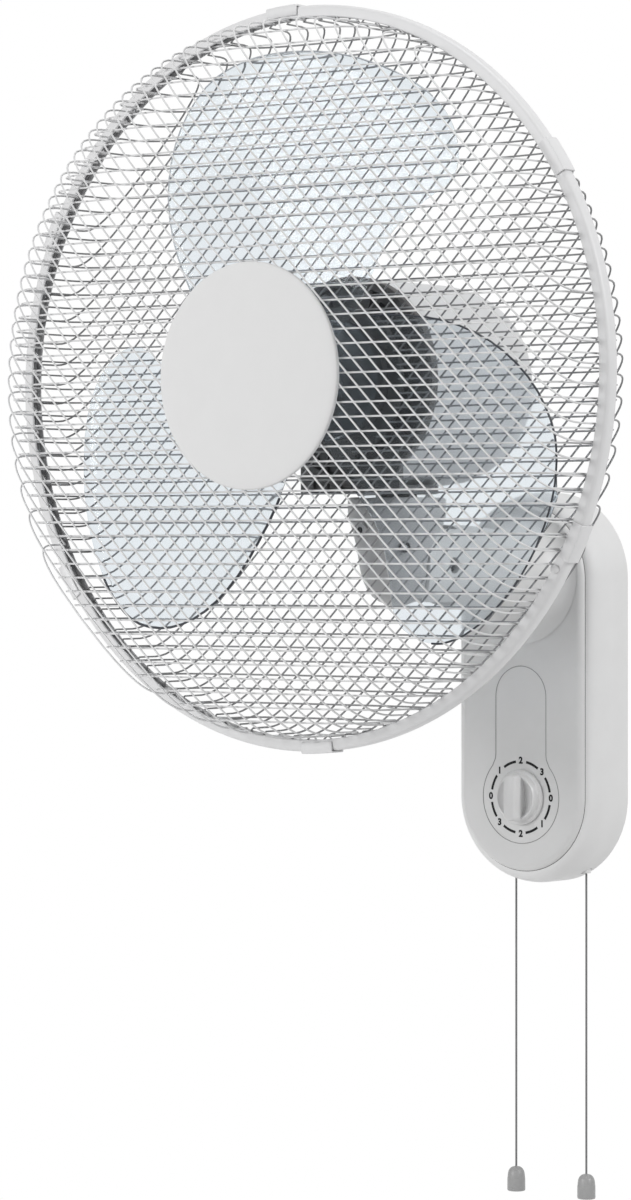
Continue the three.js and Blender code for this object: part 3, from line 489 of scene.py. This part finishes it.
HUB_BACK = REAR_RIM + REAR_DEPTH + 0.7
HUB_FRONT = HUB_BACK - LAYER - 1.4
hub_plate = shifted(lathe([
    (31, HUB_FRONT), (44.2, HUB_FRONT), (45, HUB_FRONT + 0.7),
    (45, HUB_BACK - 0.7), (44.2, HUB_BACK), (31, HUB_BACK),
], 96), 0, 0, FAN_Z)
rear_shape = merged(
    guard_wires(
        0, REAR_RIM, 1, GUARD_RADIUS - LAYER, REAR_DEPTH - LAYER, REAR_SHOULDER, -STAGGER,
        hole=HUB_HOLE,
    ),
    guard_wires(
        math.radians(45), REAR_RIM, 1, GUARD_RADIUS, REAR_DEPTH, REAR_SHOULDER, STAGGER,
        hole=HUB_HOLE,
    ),
    rim_ring(REAR_RIM),
)
mesh_piece("guard_rear", *rear_shape, "head", rear_wire_painted_shade, 60, ["rear_guard"], "guard_wire")
mesh_piece("guard_plate", *hub_plate, "head", dark, 40, slot="guard_wire")

lip, heel = RING_FRONT + RING_WALL, RING_BACK - RING_WALL
ring_shape = lathe([
    (RING_INNER, RING_FRONT + 0.5), (RING_INNER + 0.5, RING_FRONT),
    (RING_RADIUS - 2.2, RING_FRONT), (RING_RADIUS - 1.1, RING_FRONT + 0.3),
    (RING_RADIUS - 0.35, RING_FRONT + 1.0), (RING_RADIUS, RING_FRONT + 2),
    (RING_RADIUS, RING_BACK - 1.4), (RING_RADIUS - 0.5, RING_BACK - 0.4),
    (RING_RADIUS - 1.4, RING_BACK),
    (RING_INNER + 0.4, RING_BACK), (RING_INNER, RING_BACK - 0.5), (RING_INNER, heel),
    (RING_RADIUS - RING_WALL, heel), (RING_RADIUS - RING_WALL, lip), (RING_INNER, lip),
], 240)
mesh_piece(
    "ring", *shifted(ring_shape, 0, 0, FAN_Z), "head", ring_white, 40, ["clamp_ring"],
    "ring_plastic",
)

CLIPS, CLIP_START, CLIP_HALF_ANGLE = 6, 93.5, 3
CLIP_NEAR, CLIP_FAR = RING_RADIUS + 0.15, RING_RADIUS + 1.25


def arc_sweep(outline, start, end, steps=10):
    """Sweeps (radius, y) points round the fan's axis between two angles."""
    stack = []
    for k in range(steps + 1):
        a = start + (end - start) * k / steps
        stack.append([(r * math.cos(a), y, FAN_Z + r * math.sin(a)) for r, y in outline])
    return rings(stack)


for index in range(CLIPS):
    middle = math.radians(CLIP_START - index * 360 / CLIPS)
    half = math.radians(CLIP_HALF_ANGLE)
    low, high, inner = RING_FRONT - GAP, RING_BACK + GAP, RING_INNER + 1.5
    outline = [
        (inner, low - 0.6), (inner + 0.4, low - 0.9), (CLIP_FAR - 1.2, low - 0.9),
        (CLIP_FAR - 0.3, low - 0.6), (CLIP_FAR, low), (CLIP_FAR, high),
        (CLIP_FAR - 0.3, high + 0.6), (CLIP_FAR - 1.2, high + 0.9), (inner + 0.4, high + 0.9),
        (inner, high + 0.6), (inner, high), (CLIP_NEAR, high), (CLIP_NEAR, low), (inner, low),
    ]
    shape = arc_sweep(outline, middle - half, middle + half)
    clip = mesh_piece(
        f"clip_{index + 1}", *shape, "head", ring_white, 40, [f"ring_clip_{index + 1}"],
        "ring_plastic",
    )
    edge = clip.modifiers.new("edge", "BEVEL")
    edge.width, edge.segments, edge.limit_method = 0.0003, 2, "ANGLE"
    edge.angle_limit = math.radians(50)

# the rivet beside the clip at the lower right
RIVET_RADIUS, RIVET_ANGLE = 215.2, math.radians(-31.4)
rivet = lathe([(0, 0), (2.6, 0), (2.6, -1.2), (2.2, -2.1), (1.3, -2.7), (0, -2.9)], 32)
rivet_x = RIVET_RADIUS * math.cos(RIVET_ANGLE)
rivet_z = FAN_Z + RIVET_RADIUS * math.sin(RIVET_ANGLE)
mesh_piece(
    "clip_rivet", *shifted(rivet, rivet_x, RING_FRONT + 0.2, rivet_z), "head", ring_white, 40,
    slot="ring_plastic",
)

DISC_RADIUS, DISC_CROWN = 66.4, 1.2
disc_back = FRONT_RIM - FRONT_DEPTH - 0.7 - GAP
disc_profile = [
    (0, disc_back), (60, disc_back), (64.4, disc_back + 0.1), (65.6, disc_back + 1.3),
    (66.2, disc_back + 1.2), (DISC_RADIUS, disc_back + 0.6), (66.35, disc_back - 0.5),
    (66.0, disc_back - 1.0), (65.2, disc_back - 1.4),
]
for share in (0.93, 0.85, 0.75, 0.6, 0.45, 0.3, 0.15, 0):
    disc_profile.append((DISC_RADIUS * share, disc_back - 1.6 - DISC_CROWN * (1 - share ** 2)))
mesh_piece(
    "disc", *shifted(lathe(disc_profile, 128), 0, 0, FAN_Z), "head", disc_white, 50,
    ["centre_disc"], "disc_plastic",
)

# ---------- blades ----------
ROOT, TIP, BLADE_Y, THICK = 33.0, 194.8, -266.0, 1.6
HEADING, BLADE_PITCH, WARP, CAMBER = 102.3, 0.242, 0.00091, 5.0
# angles of the leading and the trailing edge, in degrees, from the root to the tip
EDGES = list(zip(
    (47, 53, 57, 54, 50.5, 54, 63, 82, 98.8),
    (160.5, 150, 140.5, 133.5, 127, 120.5, 114, 107.5, 98.8),
))
EDGE_ROWS = curve_between(EDGES, 40)


def blade_point(u, v, side, turn):
    """A blade's point: u from the root to the tip, v from the leading edge to the trailing one."""
    radius = ROOT + (TIP - ROOT) * math.sin(u * math.pi / 2)
    lead, trail = EDGE_ROWS[round(u * (len(EDGE_ROWS) - 1))]
    angle = lead + (trail - lead) * v
    aside = radius * math.sin(math.radians(angle - HEADING))
    camber = CAMBER * math.sin(v * math.pi) * min(1, radius / 120)
    thin = THICK * (1 - 0.5 * u) * (0.3 + 0.7 * max(0, math.sin(math.pi * v)) ** 0.5)
    y = BLADE_Y + (WARP * (radius - 120) - BLADE_PITCH) * aside + camber + side * thin / 2
    a = math.radians(angle + turn)
    return (radius * math.cos(a), y, FAN_Z + radius * math.sin(a))


def blade_shape(turn, rows=36, columns=30):
    points, faces = [], []
    for side in (-1, 1):
        for r in range(rows):
            for c in range(columns):
                points.append(blade_point(0.998 * r / (rows - 1), c / (columns - 1), side, turn))
    size = rows * columns
    for r in range(rows - 1):
        for c in range(columns - 1):
            a, b = r * columns + c, r * columns + c + 1
            d, e = a + columns, b + columns
            faces.append((a, b, e, d))
            faces.append((size + a, size + d, size + e, size + b))
    edge = list(range(columns)) + [r * columns + columns - 1 for r in range(1, rows)]
    edge += [(rows - 1) * columns + c for c in range(columns - 2, -1, -1)]
    edge += [r * columns for r in range(rows - 2, 0, -1)]
    for i, a in enumerate(edge):
        b = edge[(i + 1) % len(edge)]
        faces.append((b, a, size + a, size + b))
    return points, faces


def blade_painted_edge_line(turn, round_tip, radius):
    """Painted shade line along the trailing edge and round the tip, for so many steps of 60."""
    path = [blade_point(k / 60, 1, 0, turn) for k in range(9, 60)]
    path += [blade_point(1 - k / 60, 0, 0, turn) for k in range(1, round_tip)]
    return tube(path, radius, 6)


hub_shape = lathe([
    (4.3, -292), (27, -292), (29.5, -291.4), (31.4, -290), (32.8, -288), (33.6, -285.6),
    (34.1, -282), (36, -236), (33.4, -236), (31.4, -282), (30.6, -285.5), (28.6, -287.6),
    (10, -288), (9, -228), (4.3, -228),
], 96)
blades_shape = merged(
    shifted(hub_shape, 0, 0, FAN_Z), *[blade_shape(turn) for turn in (0, 120, 240)],
)
mesh_piece("blades", *blades_shape, "rotor", blade_tint, 45, ["fan_blade"], "blade_plastic")
# painted shade lines along the blades' edges, darker on two blades and softer on the top one
mesh_piece(
    "blade_painted_edge_lines", *merged(blade_painted_edge_line(120, 2, 0.8), blade_painted_edge_line(240, 20, 0.65)), "rotor",
    blade_edge_painted_shade, 60, slot="blade_plastic",
)
mesh_piece(
    "blade_painted_edge_top", *blade_painted_edge_line(0, 16, 0.5), "rotor", blade_soft_painted_shade, 60,
    slot="blade_plastic",
)

# ---------- motor ----------
MOTOR_FRONT, HEAD_FLOOR = -216.5, 121.4
FOOT_Z = HEAD_FLOOR - FAN_Z  # the bracket's foot, seen from the fan's axis
SLOTS, SLOT_START, SLOT_SPAN = 10, 6, 22
bracket = loose("bracket", lathe([
    (0, MOTOR_FRONT), (56, MOTOR_FRONT), (57, MOTOR_FRONT - 2.2), (61, MOTOR_FRONT - 2.2),
    (62.6, MOTOR_FRONT - 1.2), (63, MOTOR_FRONT), (63, MOTOR_FRONT + 4), (0, MOTOR_FRONT + 4),
], 96))
for part in (
    rod(14, MOTOR_FRONT - 9, MOTOR_FRONT + 2), rod(20, MOTOR_FRONT - 3, MOTOR_FRONT + 2),
    rod(15, MOTOR_FRONT, MOTOR_FRONT + 14),
    box(-37.5, 37.5, MOTOR_FRONT, MOTOR_FRONT + 4, FOOT_Z, FOOT_Z + 20),
    box(-24, 24, MOTOR_FRONT + 0.5, PAN_Y + 10, FOOT_Z, FOOT_Z + 5),
    shifted(rod(24, FOOT_Z, FOOT_Z + 5, "Z", 64), 0, PAN_Y, 0),
    shifted(rod(7, 97 - FAN_Z, FOOT_Z + 1, "Z"), 0, PAN_Y, 0),
):
    combine(bracket, part, "UNION")
combine(bracket, rod(5, MOTOR_FRONT - 20, MOTOR_FRONT + 40), "DIFFERENCE")
combine(bracket, rod(11.3, MOTOR_FRONT + 5, MOTOR_FRONT + 40), "DIFFERENCE")


def sector(r0, r1, y0, y1, start, span, steps=8):
    """A piece of a round plate, from the start angle over the span, in radians."""
    corners = ((r0, y0), (r1, y0), (r1, y1), (r0, y1))
    stack = []
    for k in range(steps + 1):
        a = start + span * k / steps
        stack.append([(r * math.cos(a), y, r * math.sin(a)) for r, y in corners])
    return rings(stack)


for i in range(SLOTS):
    start = math.radians(i * 360 / SLOTS + SLOT_START)
    slot_shape = sector(26, 52, MOTOR_FRONT - 5, MOTOR_FRONT + 3.2, start, math.radians(SLOT_SPAN))
    combine(bracket, slot_shape, "DIFFERENCE")
raised(bracket, FAN_Z)
bracket.name = "bracket_front"
finished(bracket, "head", dark, 30, ["motor_bracket_front"])

ribs = []
for i in range(SLOTS):
    a = math.radians(i * 360 / SLOTS + SLOT_START + (SLOT_SPAN + 360 / SLOTS) / 2)
    direction = Vector((math.cos(a), 0, math.sin(a)))
    side_way = Vector((-math.sin(a), 0, math.cos(a)))
    ring_stack = []
    for r in (20, 56):
        p = direction * r
        ring_stack.append([
            tuple(p + side_way * w + Vector((0, y, FAN_Z)))
            for w, y in (
                (-1.1, MOTOR_FRONT + 0.2), (1.1, MOTOR_FRONT + 0.2),
                (0.8, MOTOR_FRONT - 2.4), (-0.8, MOTOR_FRONT - 2.4),
            )
        ])
    ribs.append(rings(ring_stack))
for r in (33, 45):
    ribs.append(shifted(lathe([
        (r - 0.7, MOTOR_FRONT + 2.6), (r - 0.7, MOTOR_FRONT - 0.8),
        (r + 0.7, MOTOR_FRONT - 0.8), (r + 0.7, MOTOR_FRONT + 2.6),
    ], 96), 0, 0, FAN_Z))
for x in (-27, -16.5, -6, 6, 16.5, 27):
    ribs.append(box(
        x - 0.8, x + 0.8, MOTOR_FRONT - 2, MOTOR_FRONT + 0.3, HEAD_FLOOR + 2, HEAD_FLOOR + 17,
    ))
mesh_piece("bracket_ribs", *merged(*ribs), "head", dark, 30, slot="dark_plastic")

cover = loose("cover", lathe([
    (0, -212.2), (62, -212.2), (62, -134.5), (61.8, -128), (61.2, -122), (60.2, -116.5),
    (58.6, -111.5), (56.4, -107), (53.6, -103.4), (50, -100.6), (45.5, -98.4), (40, -97.1),
    (33, -96.6), (0, -96.5),
], 128))
cover_inner = lathe([
    (0, -213.5), (60, -213.5), (60, -134.5), (59.2, -122), (56.6, -111.5), (51.6, -105.4),
    (45, -101.4), (38, -99.4), (0, -98.5),
], 96)
combine(cover, cover_inner, "DIFFERENCE")
combine(cover, box(-130, 130, -214, -90, -130, 126.7 - FAN_Z), "DIFFERENCE")
combine(cover, shifted(rod(15, -130, -31, "Z"), 0, -124, 0), "DIFFERENCE")
for i in range(7):  # cooling slots in the back
    z = 30 - i * 9
    w = 26 - abs(i - 3) * 2
    combine(cover, box(-w, w, -106, -94, z, z + 3.6), "DIFFERENCE")
raised(cover, FAN_Z)
cover.name = "cover"
finished(cover, "head", cover_painted_shade, 30, ["motor_cover"])

# ---------- neck and arm ----------
neck = loose("neck", shifted(lathe([
    (0, 119), (28.6, 119), (29.6, 118.6), (30, 117.6), (30, 110.5), (29.7, 107),
    (28.5, 103.5), (27.2, 98.5), (25.2, 91), (24, 84), (22.6, 75.5), (21, 69), (18.4, 63.2),
    (15, 58.6), (11, 55.8), (6, 53.8), (0, 53),
], 96, "Z"), 0, PAN_Y, 0))
combine(neck, shifted(rod(26, -60, 60, "X", 96), 0, TILT_Y, TILT_Z), "DIFFERENCE")
combine(neck, shifted(rod(20, -10.5, 10.5, "X", 64), 0, TILT_Y, TILT_Z), "UNION")
combine(neck, box(-10.5, 10.5, PAN_Y - 6, TILT_Y, 64, 107), "UNION")
combine(neck, shifted(rod(3.3, -60, 60, "X", 32), 0, TILT_Y, TILT_Z), "DIFFERENCE")
combine(neck, shifted(rod(7.3, 95, 121, "Z"), 0, PAN_Y, 0), "DIFFERENCE")
pocket_ring = [(-60, -4.4), (-11.1, -4.4), (-3, 3), (60, 60), (-60, 60)]
pocket = rings([[(x, y + PAN_Y, z) for x, y in pocket_ring] for z in (112.7, 121)])
combine(neck, pocket, "DIFFERENCE")
combine(neck, shifted(rod(2, 111.7, 118, "Z", 24), -15.5, PAN_Y, 0), "UNION")
finished(neck, "neck", neck_grey, 30, ["neck_housing"])


def neck_pin(name, direction, height, start, end, radius, material):
    """A short round pin that stands out of the neck, so many degrees from its front."""
    profile = [(0, start), (radius, start), (radius, end - 0.5), (radius - 0.5, end), (0, end)]
    points, faces = lathe(profile, 32)
    c, s = math.cos(math.radians(direction)), math.sin(math.radians(direction))
    placed = [(x * c - y * s, PAN_Y + (x * s + y * c), height + z) for x, y, z in points]
    mesh_piece(name, placed, faces, "neck", material, 30, slot="neck_plastic")


neck_pin("neck_boss", -12, 99, -24, -29.4, 4.6, neck_grey)
neck_pin("neck_boss_screw", -12, 99, -24, -29.6, 2.0, darker)
neck_pin("neck_hole", 48, 89, -22, -26.4, 3.4, darker)
neck_pin("neck_screw", 48, 89, -22, -26.9, 1.5, steel)

# arm: y from the panel, radius, and share of the way up from the foot to the tilt axis
ARM_R = 25
arm_rows = curve_between([
    (0, 43, 0), (-0.3, 41.5, 0), (-1, 39.2, 0), (-2.2, 36.8, 0.01), (-4.2, 34.2, 0.02),
    (-7.4, 31.6, 0.05), (-12, 29.4, 0.1), (-19, 27.5, 0.24), (-29, 26, 0.47), (-44, 25.1, 0.8),
    (-62, ARM_R, 1),
], 5)
arm_face = PANEL_FACE - GAP
arm_stack = [
    pill(w, arm_face + y, 0.001, ARM_Z + (TILT_Z - ARM_Z) * h, 36) for y, w, h in arm_rows
]
arm_stack.append(pill(ARM_R, TILT_Y, 0.001, TILT_Z, 36))
arm = loose("arm", rings(arm_stack))
stub = loose("stub", shifted(rod(ARM_R, TILT_Y - ARM_R, TILT_Y + 0.5, "Y", 74), 0, 0, TILT_Z))
combine(stub, shifted(rod(ARM_R, -50, 50, "X", 96), 0, TILT_Y, TILT_Z), "INTERSECT")
stub_shape = as_shape(stub.data)
bpy.data.objects.remove(stub)
combine(arm, stub_shape, "UNION")
combine(arm, shifted(rod(18, arm_face - 4, -3.1, "Y", 64), 0, 0, ARM_Z), "UNION")
combine(arm, box(-11, 11, TILT_Y - 50, TILT_Y + 22, 28, 128), "DIFFERENCE")
combine(arm, shifted(rod(3.3, -50, 50, "X", 32), 0, TILT_Y, TILT_Z), "DIFFERENCE")
for a, b in ((-50, -17), (17, 50)):
    combine(arm, shifted(rod(5, a, b, "X", 48), 0, TILT_Y, TILT_Z), "DIFFERENCE")
finished(arm, "wall_box", panel_grey, 40, ["support_arm"])

# ---------- wall box ----------
ROUND_DEPTH, PANEL_STEP = 18, 3.6  # depth of the rounded edge, and of the panel's own edge
EDGE_START, PANEL_W, PANEL_BACK = -(BOX_D - PANEL_STEP - ROUND_DEPTH), 46.8, -34.6
box_profile = [(52.8, 0), (54.4, 0), (BOX_W, -0.6)]
for k in range(13):
    t = math.radians(90 * k / 12)
    box_profile.append((
        BOX_W - (BOX_W - PANEL_W - GAP) * (1 - math.cos(t)),
        EDGE_START - ROUND_DEPTH * math.sin(t),
    ))
box_profile += [
    (47.1, PANEL_BACK + GAP), (43, PANEL_BACK + GAP), (43, PANEL_BACK + 2),
    (50.5, PANEL_BACK + 2.2), (52.8, -18),
]
housing = loose("housing", rings([pill(w, y, arc=64) for w, y in box_profile], closed=True))
for side in (-1, 1):
    cord_hole = shifted(rod(3.3, CORD_EXIT - 5, CORD_EXIT + 9, "Z", 32), side * CORD_X, CORD_Y, 0)
    combine(housing, cord_hole, "DIFFERENCE")
finished(housing, "wall_box", white, 30, ["front_housing"])

panel_rows = [(PANEL_W - 0.2, PANEL_BACK), (PANEL_W, PANEL_BACK - 0.3)]
for k in range(11):
    t = math.radians(90 * k / 10)
    panel_rows.append((42 + 4.8 * math.cos(t), -36.4 - 3.6 * math.sin(t)))
panel = loose("panel", rings([pill(w, y, arc=64) for w, y in panel_rows]))
combine(panel, shifted(rod(18.3, -60, 0, "Y", 64), 0, 0, ARM_Z), "DIFFERENCE")
combine(panel, shifted(rod(5.8, -60, 0, "Y", 48), 0, 0, DIAL_Z), "DIFFERENCE")
finished(panel, "wall_box", panel_grey, 25, ["control_panel"])

# the fine line round the dial, which runs up into a pill
LINE_R, LINE_W, LINE_TOP = 29.3, 19.4, 14.0
LINE_Y = PANEL_FACE - 0.02
join_angle = math.acos(LINE_W / LINE_R)
fillet = math.radians(7)
dial_start = math.pi / 2 + (math.pi / 2 - join_angle) + fillet
dial_span = 2 * math.pi - 2 * (math.pi / 2 - join_angle) - 2 * fillet
corner_z = DIAL_Z + LINE_R * math.sin(join_angle)
side_low, side_high = corner_z + 5, LINE_TOP - LINE_W
side_rows = [side_low + (side_high - side_low) * k / 8 for k in range(9)]
line_path = []
for k in range(81):
    a = dial_start + dial_span * k / 80
    line_path.append((LINE_R * math.cos(a), LINE_Y, DIAL_Z + LINE_R * math.sin(a)))
line_path.append((LINE_W + 0.35, LINE_Y, corner_z + 2.2))
line_path += [(LINE_W, LINE_Y, z) for z in side_rows]
for k in range(1, 32):
    a = math.pi * k / 32
    line_path.append((LINE_W * math.cos(a), LINE_Y, LINE_TOP - LINE_W + LINE_W * math.sin(a)))
line_path += [(-LINE_W, LINE_Y, z) for z in side_rows[::-1]]
line_path.append((-LINE_W - 0.35, LINE_Y, corner_z + 2.2))
mesh_piece(
    "panel_line", *tube(line_path, 0.26, 6, closed=True), "wall_box", seam_grey, 60,
    slot="panel_plastic",
)

# a dark tube in the gap round the panel: painted shade deep in the gap
seam_path = pill(PANEL_W + 0.16, -36.1, arc=64)
mesh_piece(
    "panel_gap_painted_shade", *tube(seam_path, 0.38, 6, closed=True), "wall_box", gap_painted_shade, 60,
    slot="panel_plastic",
)

# dial: digits and arcs between them
DIGITS, DIGIT_R, DIGIT_SIZE, DIGIT_WEIGHT = "23012301", 23.2, 5.8, 0.26
ARC_INNER, ARC_OUTER, ARC_START, ARC_END, ARC_STEPS = 21.9, 23.5, 10.5, 35.5, 6
ARC_BACK, ARC_FRONT = PANEL_FACE + 0.05, PANEL_FACE - 0.12
dial_shapes = []
for k, digit in enumerate(DIGITS):
    angle = 90 - 45 * k
    a = math.radians(angle)
    text = bpy.data.curves.new(f"digit_{k}", "FONT")
    text.body = digit
    text.size = DIGIT_SIZE * MM
    text.align_x, text.align_y = "CENTER", "CENTER"
    text.extrude = 0.08 * MM
    text.offset = DIGIT_WEIGHT * MM
    holder = linked("holder", text)
    flat = evaluated_mesh(holder)
    bpy.data.objects.remove(holder)
    spot = (DIGIT_R * math.cos(a), PANEL_FACE - 0.05, DIAL_Z + DIGIT_R * math.sin(a))
    upright = Matrix.Rotation(math.radians(90), 4, "X")
    flat.transform(Matrix.Translation([value * MM for value in spot]) @ upright)
    dial_shapes.append(as_shape(flat))
    corners = (
        (ARC_INNER, ARC_BACK), (ARC_OUTER, ARC_BACK),
        (ARC_OUTER, ARC_FRONT), (ARC_INNER, ARC_FRONT),
    )
    stack = []
    for j in range(ARC_STEPS + 1):
        t = math.radians(angle - ARC_START - (ARC_END - ARC_START) * j / ARC_STEPS)
        stack.append([(r * math.cos(t), y, DIAL_Z + r * math.sin(t)) for r, y in corners])
    dial_shapes.append(rings(stack))
mesh_piece(
    "dial_print", *merged(*dial_shapes), "wall_box", print_dark, 30, slot="black_plastic",
)

# knob: a flange and a dished body, crossed by a tall grip
knob_back = PANEL_FACE - GAP
knob = loose("knob", lathe([
    (0, knob_back), (17.1, knob_back), (17.5, knob_back - 0.3), (17.5, knob_back - 1.5),
    (17.1, knob_back - 2.1), (16.4, knob_back - 2.4), (15.6, knob_back - 2.6),
    (15.1, knob_back - 3.4), (14.9, knob_back - 4.8), (14.6, knob_back - 5.9),
    (14.1, knob_back - 6.5), (13.5, knob_back - 6.4), (12.9, knob_back - 5.6),
    (11.8, knob_back - 4.1), (9.5, knob_back - 3), (6, knob_back - 2.6), (0, knob_back - 2.5),
], 96))
GRIP_HALF, GRIP_REACH = 4.7, 15.3
GRIP_TAPER = ((2, -0.5), (5, -0.2), (9, 0), (11.2, 0.1), (12.2, 0.4), (12.8, 0.9), (13, 1.6))
grip_rows = []
for depth, narrower in GRIP_TAPER:
    half, reach = GRIP_HALF - narrower, GRIP_REACH - narrower * 0.8 - depth * 0.05
    row = []
    for side in (1, -1):
        for k in range(13):
            t = math.pi * k / 12
            x = half * math.cos(t) * side
            z = (reach - half * 0.55) * side + half * 0.55 * math.sin(t) * side
            row.append((x, knob_back - depth, z))
    grip_rows.append(row)
combine(knob, rings(grip_rows), "UNION")
combine(knob, rod(3.3, knob_back - 8, knob_back + 1), "DIFFERENCE")
raised(knob, DIAL_Z)
finished(knob, "knob", knob_white, 34, ["control_knob"])

# ---------- CAD pieces that stay ----------
kept = {
    "white_plastic": white, "zinc_steel": steel, "black_plastic": darker,
    "cast_aluminium": aluminium, "core_steel": core, "copper_wire": copper,
    "blade_plastic": white,
}
darkened = {
    "guard_nut": dark, "tilt_bolt": darker, "tilt_nut": darker, "winding_front": darker,
}
slots = {row["node"]: row["material_slot"] for row in frame["record"]["subparts"]}
for name, node in frame["nodes"].items():
    if node.hide_render:
        continue
    node.data.materials.clear()
    node.data.materials.append(darkened.get(name) or kept.get(slots[name], white))

# ---------- floor, light, world ----------
FLOOR_Z = -1.1  # in metres, as all lengths from here on
floor_corners = [(-1.6, -1.8), (1.6, -1.8), (1.6, 1.2), (-1.6, 1.2)]
floor_mesh = bpy.data.meshes.new("floor")
floor_mesh.from_pydata([(x, y, FLOOR_Z) for x, y in floor_corners], [], [(0, 1, 2, 3)])
floor = linked("floor", floor_mesh)
floor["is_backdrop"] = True
floor_mesh.materials.append(shader(
    "floor", (0.82, 0.82, 0.82), 0.7, 0.01, 4, 0.02,
    Emission_Color=(1, 1, 1, 1), Emission_Strength=0.2,
))


def lamp(name, place, target, size, power):
    data = bpy.data.lights.new(name, "AREA")
    data.shape, data.size, data.energy = "DISK", size, power
    light = linked(name, data)
    light.location = place
    light.rotation_euler = (Vector(target) - Vector(place)).to_track_quat("-Z", "Y").to_euler()


lamp("key", (2.4, 0.1, 1.3), (0, -0.15, 0.05), 1.0, 36)
lamp("fill", (-1.0, -2.7, 0.7), (0, -0.2, 0.1), 1.2, 40)
lamp("top", (0.2, -0.3, 2.4), (0, -0.2, 0.1), 1.0, 12)

world = bpy.data.worlds.new("world")
bpy.context.scene.world = world
world.use_nodes = True
tree = world.node_tree
tree.nodes.clear()
path = tree.nodes.new("ShaderNodeLightPath")
first = tree.nodes.new("ShaderNodeMath")
second = tree.nodes.new("ShaderNodeMath")
first.operation = second.operation = "MAXIMUM"
seen = tree.nodes.new("ShaderNodeBackground")
lit = tree.nodes.new("ShaderNodeBackground")
for node, strength in ((seen, 1.0), (lit, 0.34)):
    node.inputs["Color"].default_value = (1, 1, 1, 1)
    node.inputs["Strength"].default_value = strength
mix = tree.nodes.new("ShaderNodeMixShader")
out = tree.nodes.new("ShaderNodeOutputWorld")
tree.links.new(path.outputs["Is Camera Ray"], first.inputs[0])
tree.links.new(path.outputs["Is Glossy Ray"], first.inputs[1])
tree.links.new(first.outputs[0], second.inputs[0])
tree.links.new(path.outputs["Is Transmission Ray"], second.inputs[1])
tree.links.new(second.outputs[0], mix.inputs[0])
tree.links.new(lit.outputs[0], mix.inputs[1])
tree.links.new(seen.outputs[0], mix.inputs[2])
tree.links.new(mix.outputs[0], out.inputs[0])

bpy.context.scene.view_settings.view_transform = "Standard"

low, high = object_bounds()
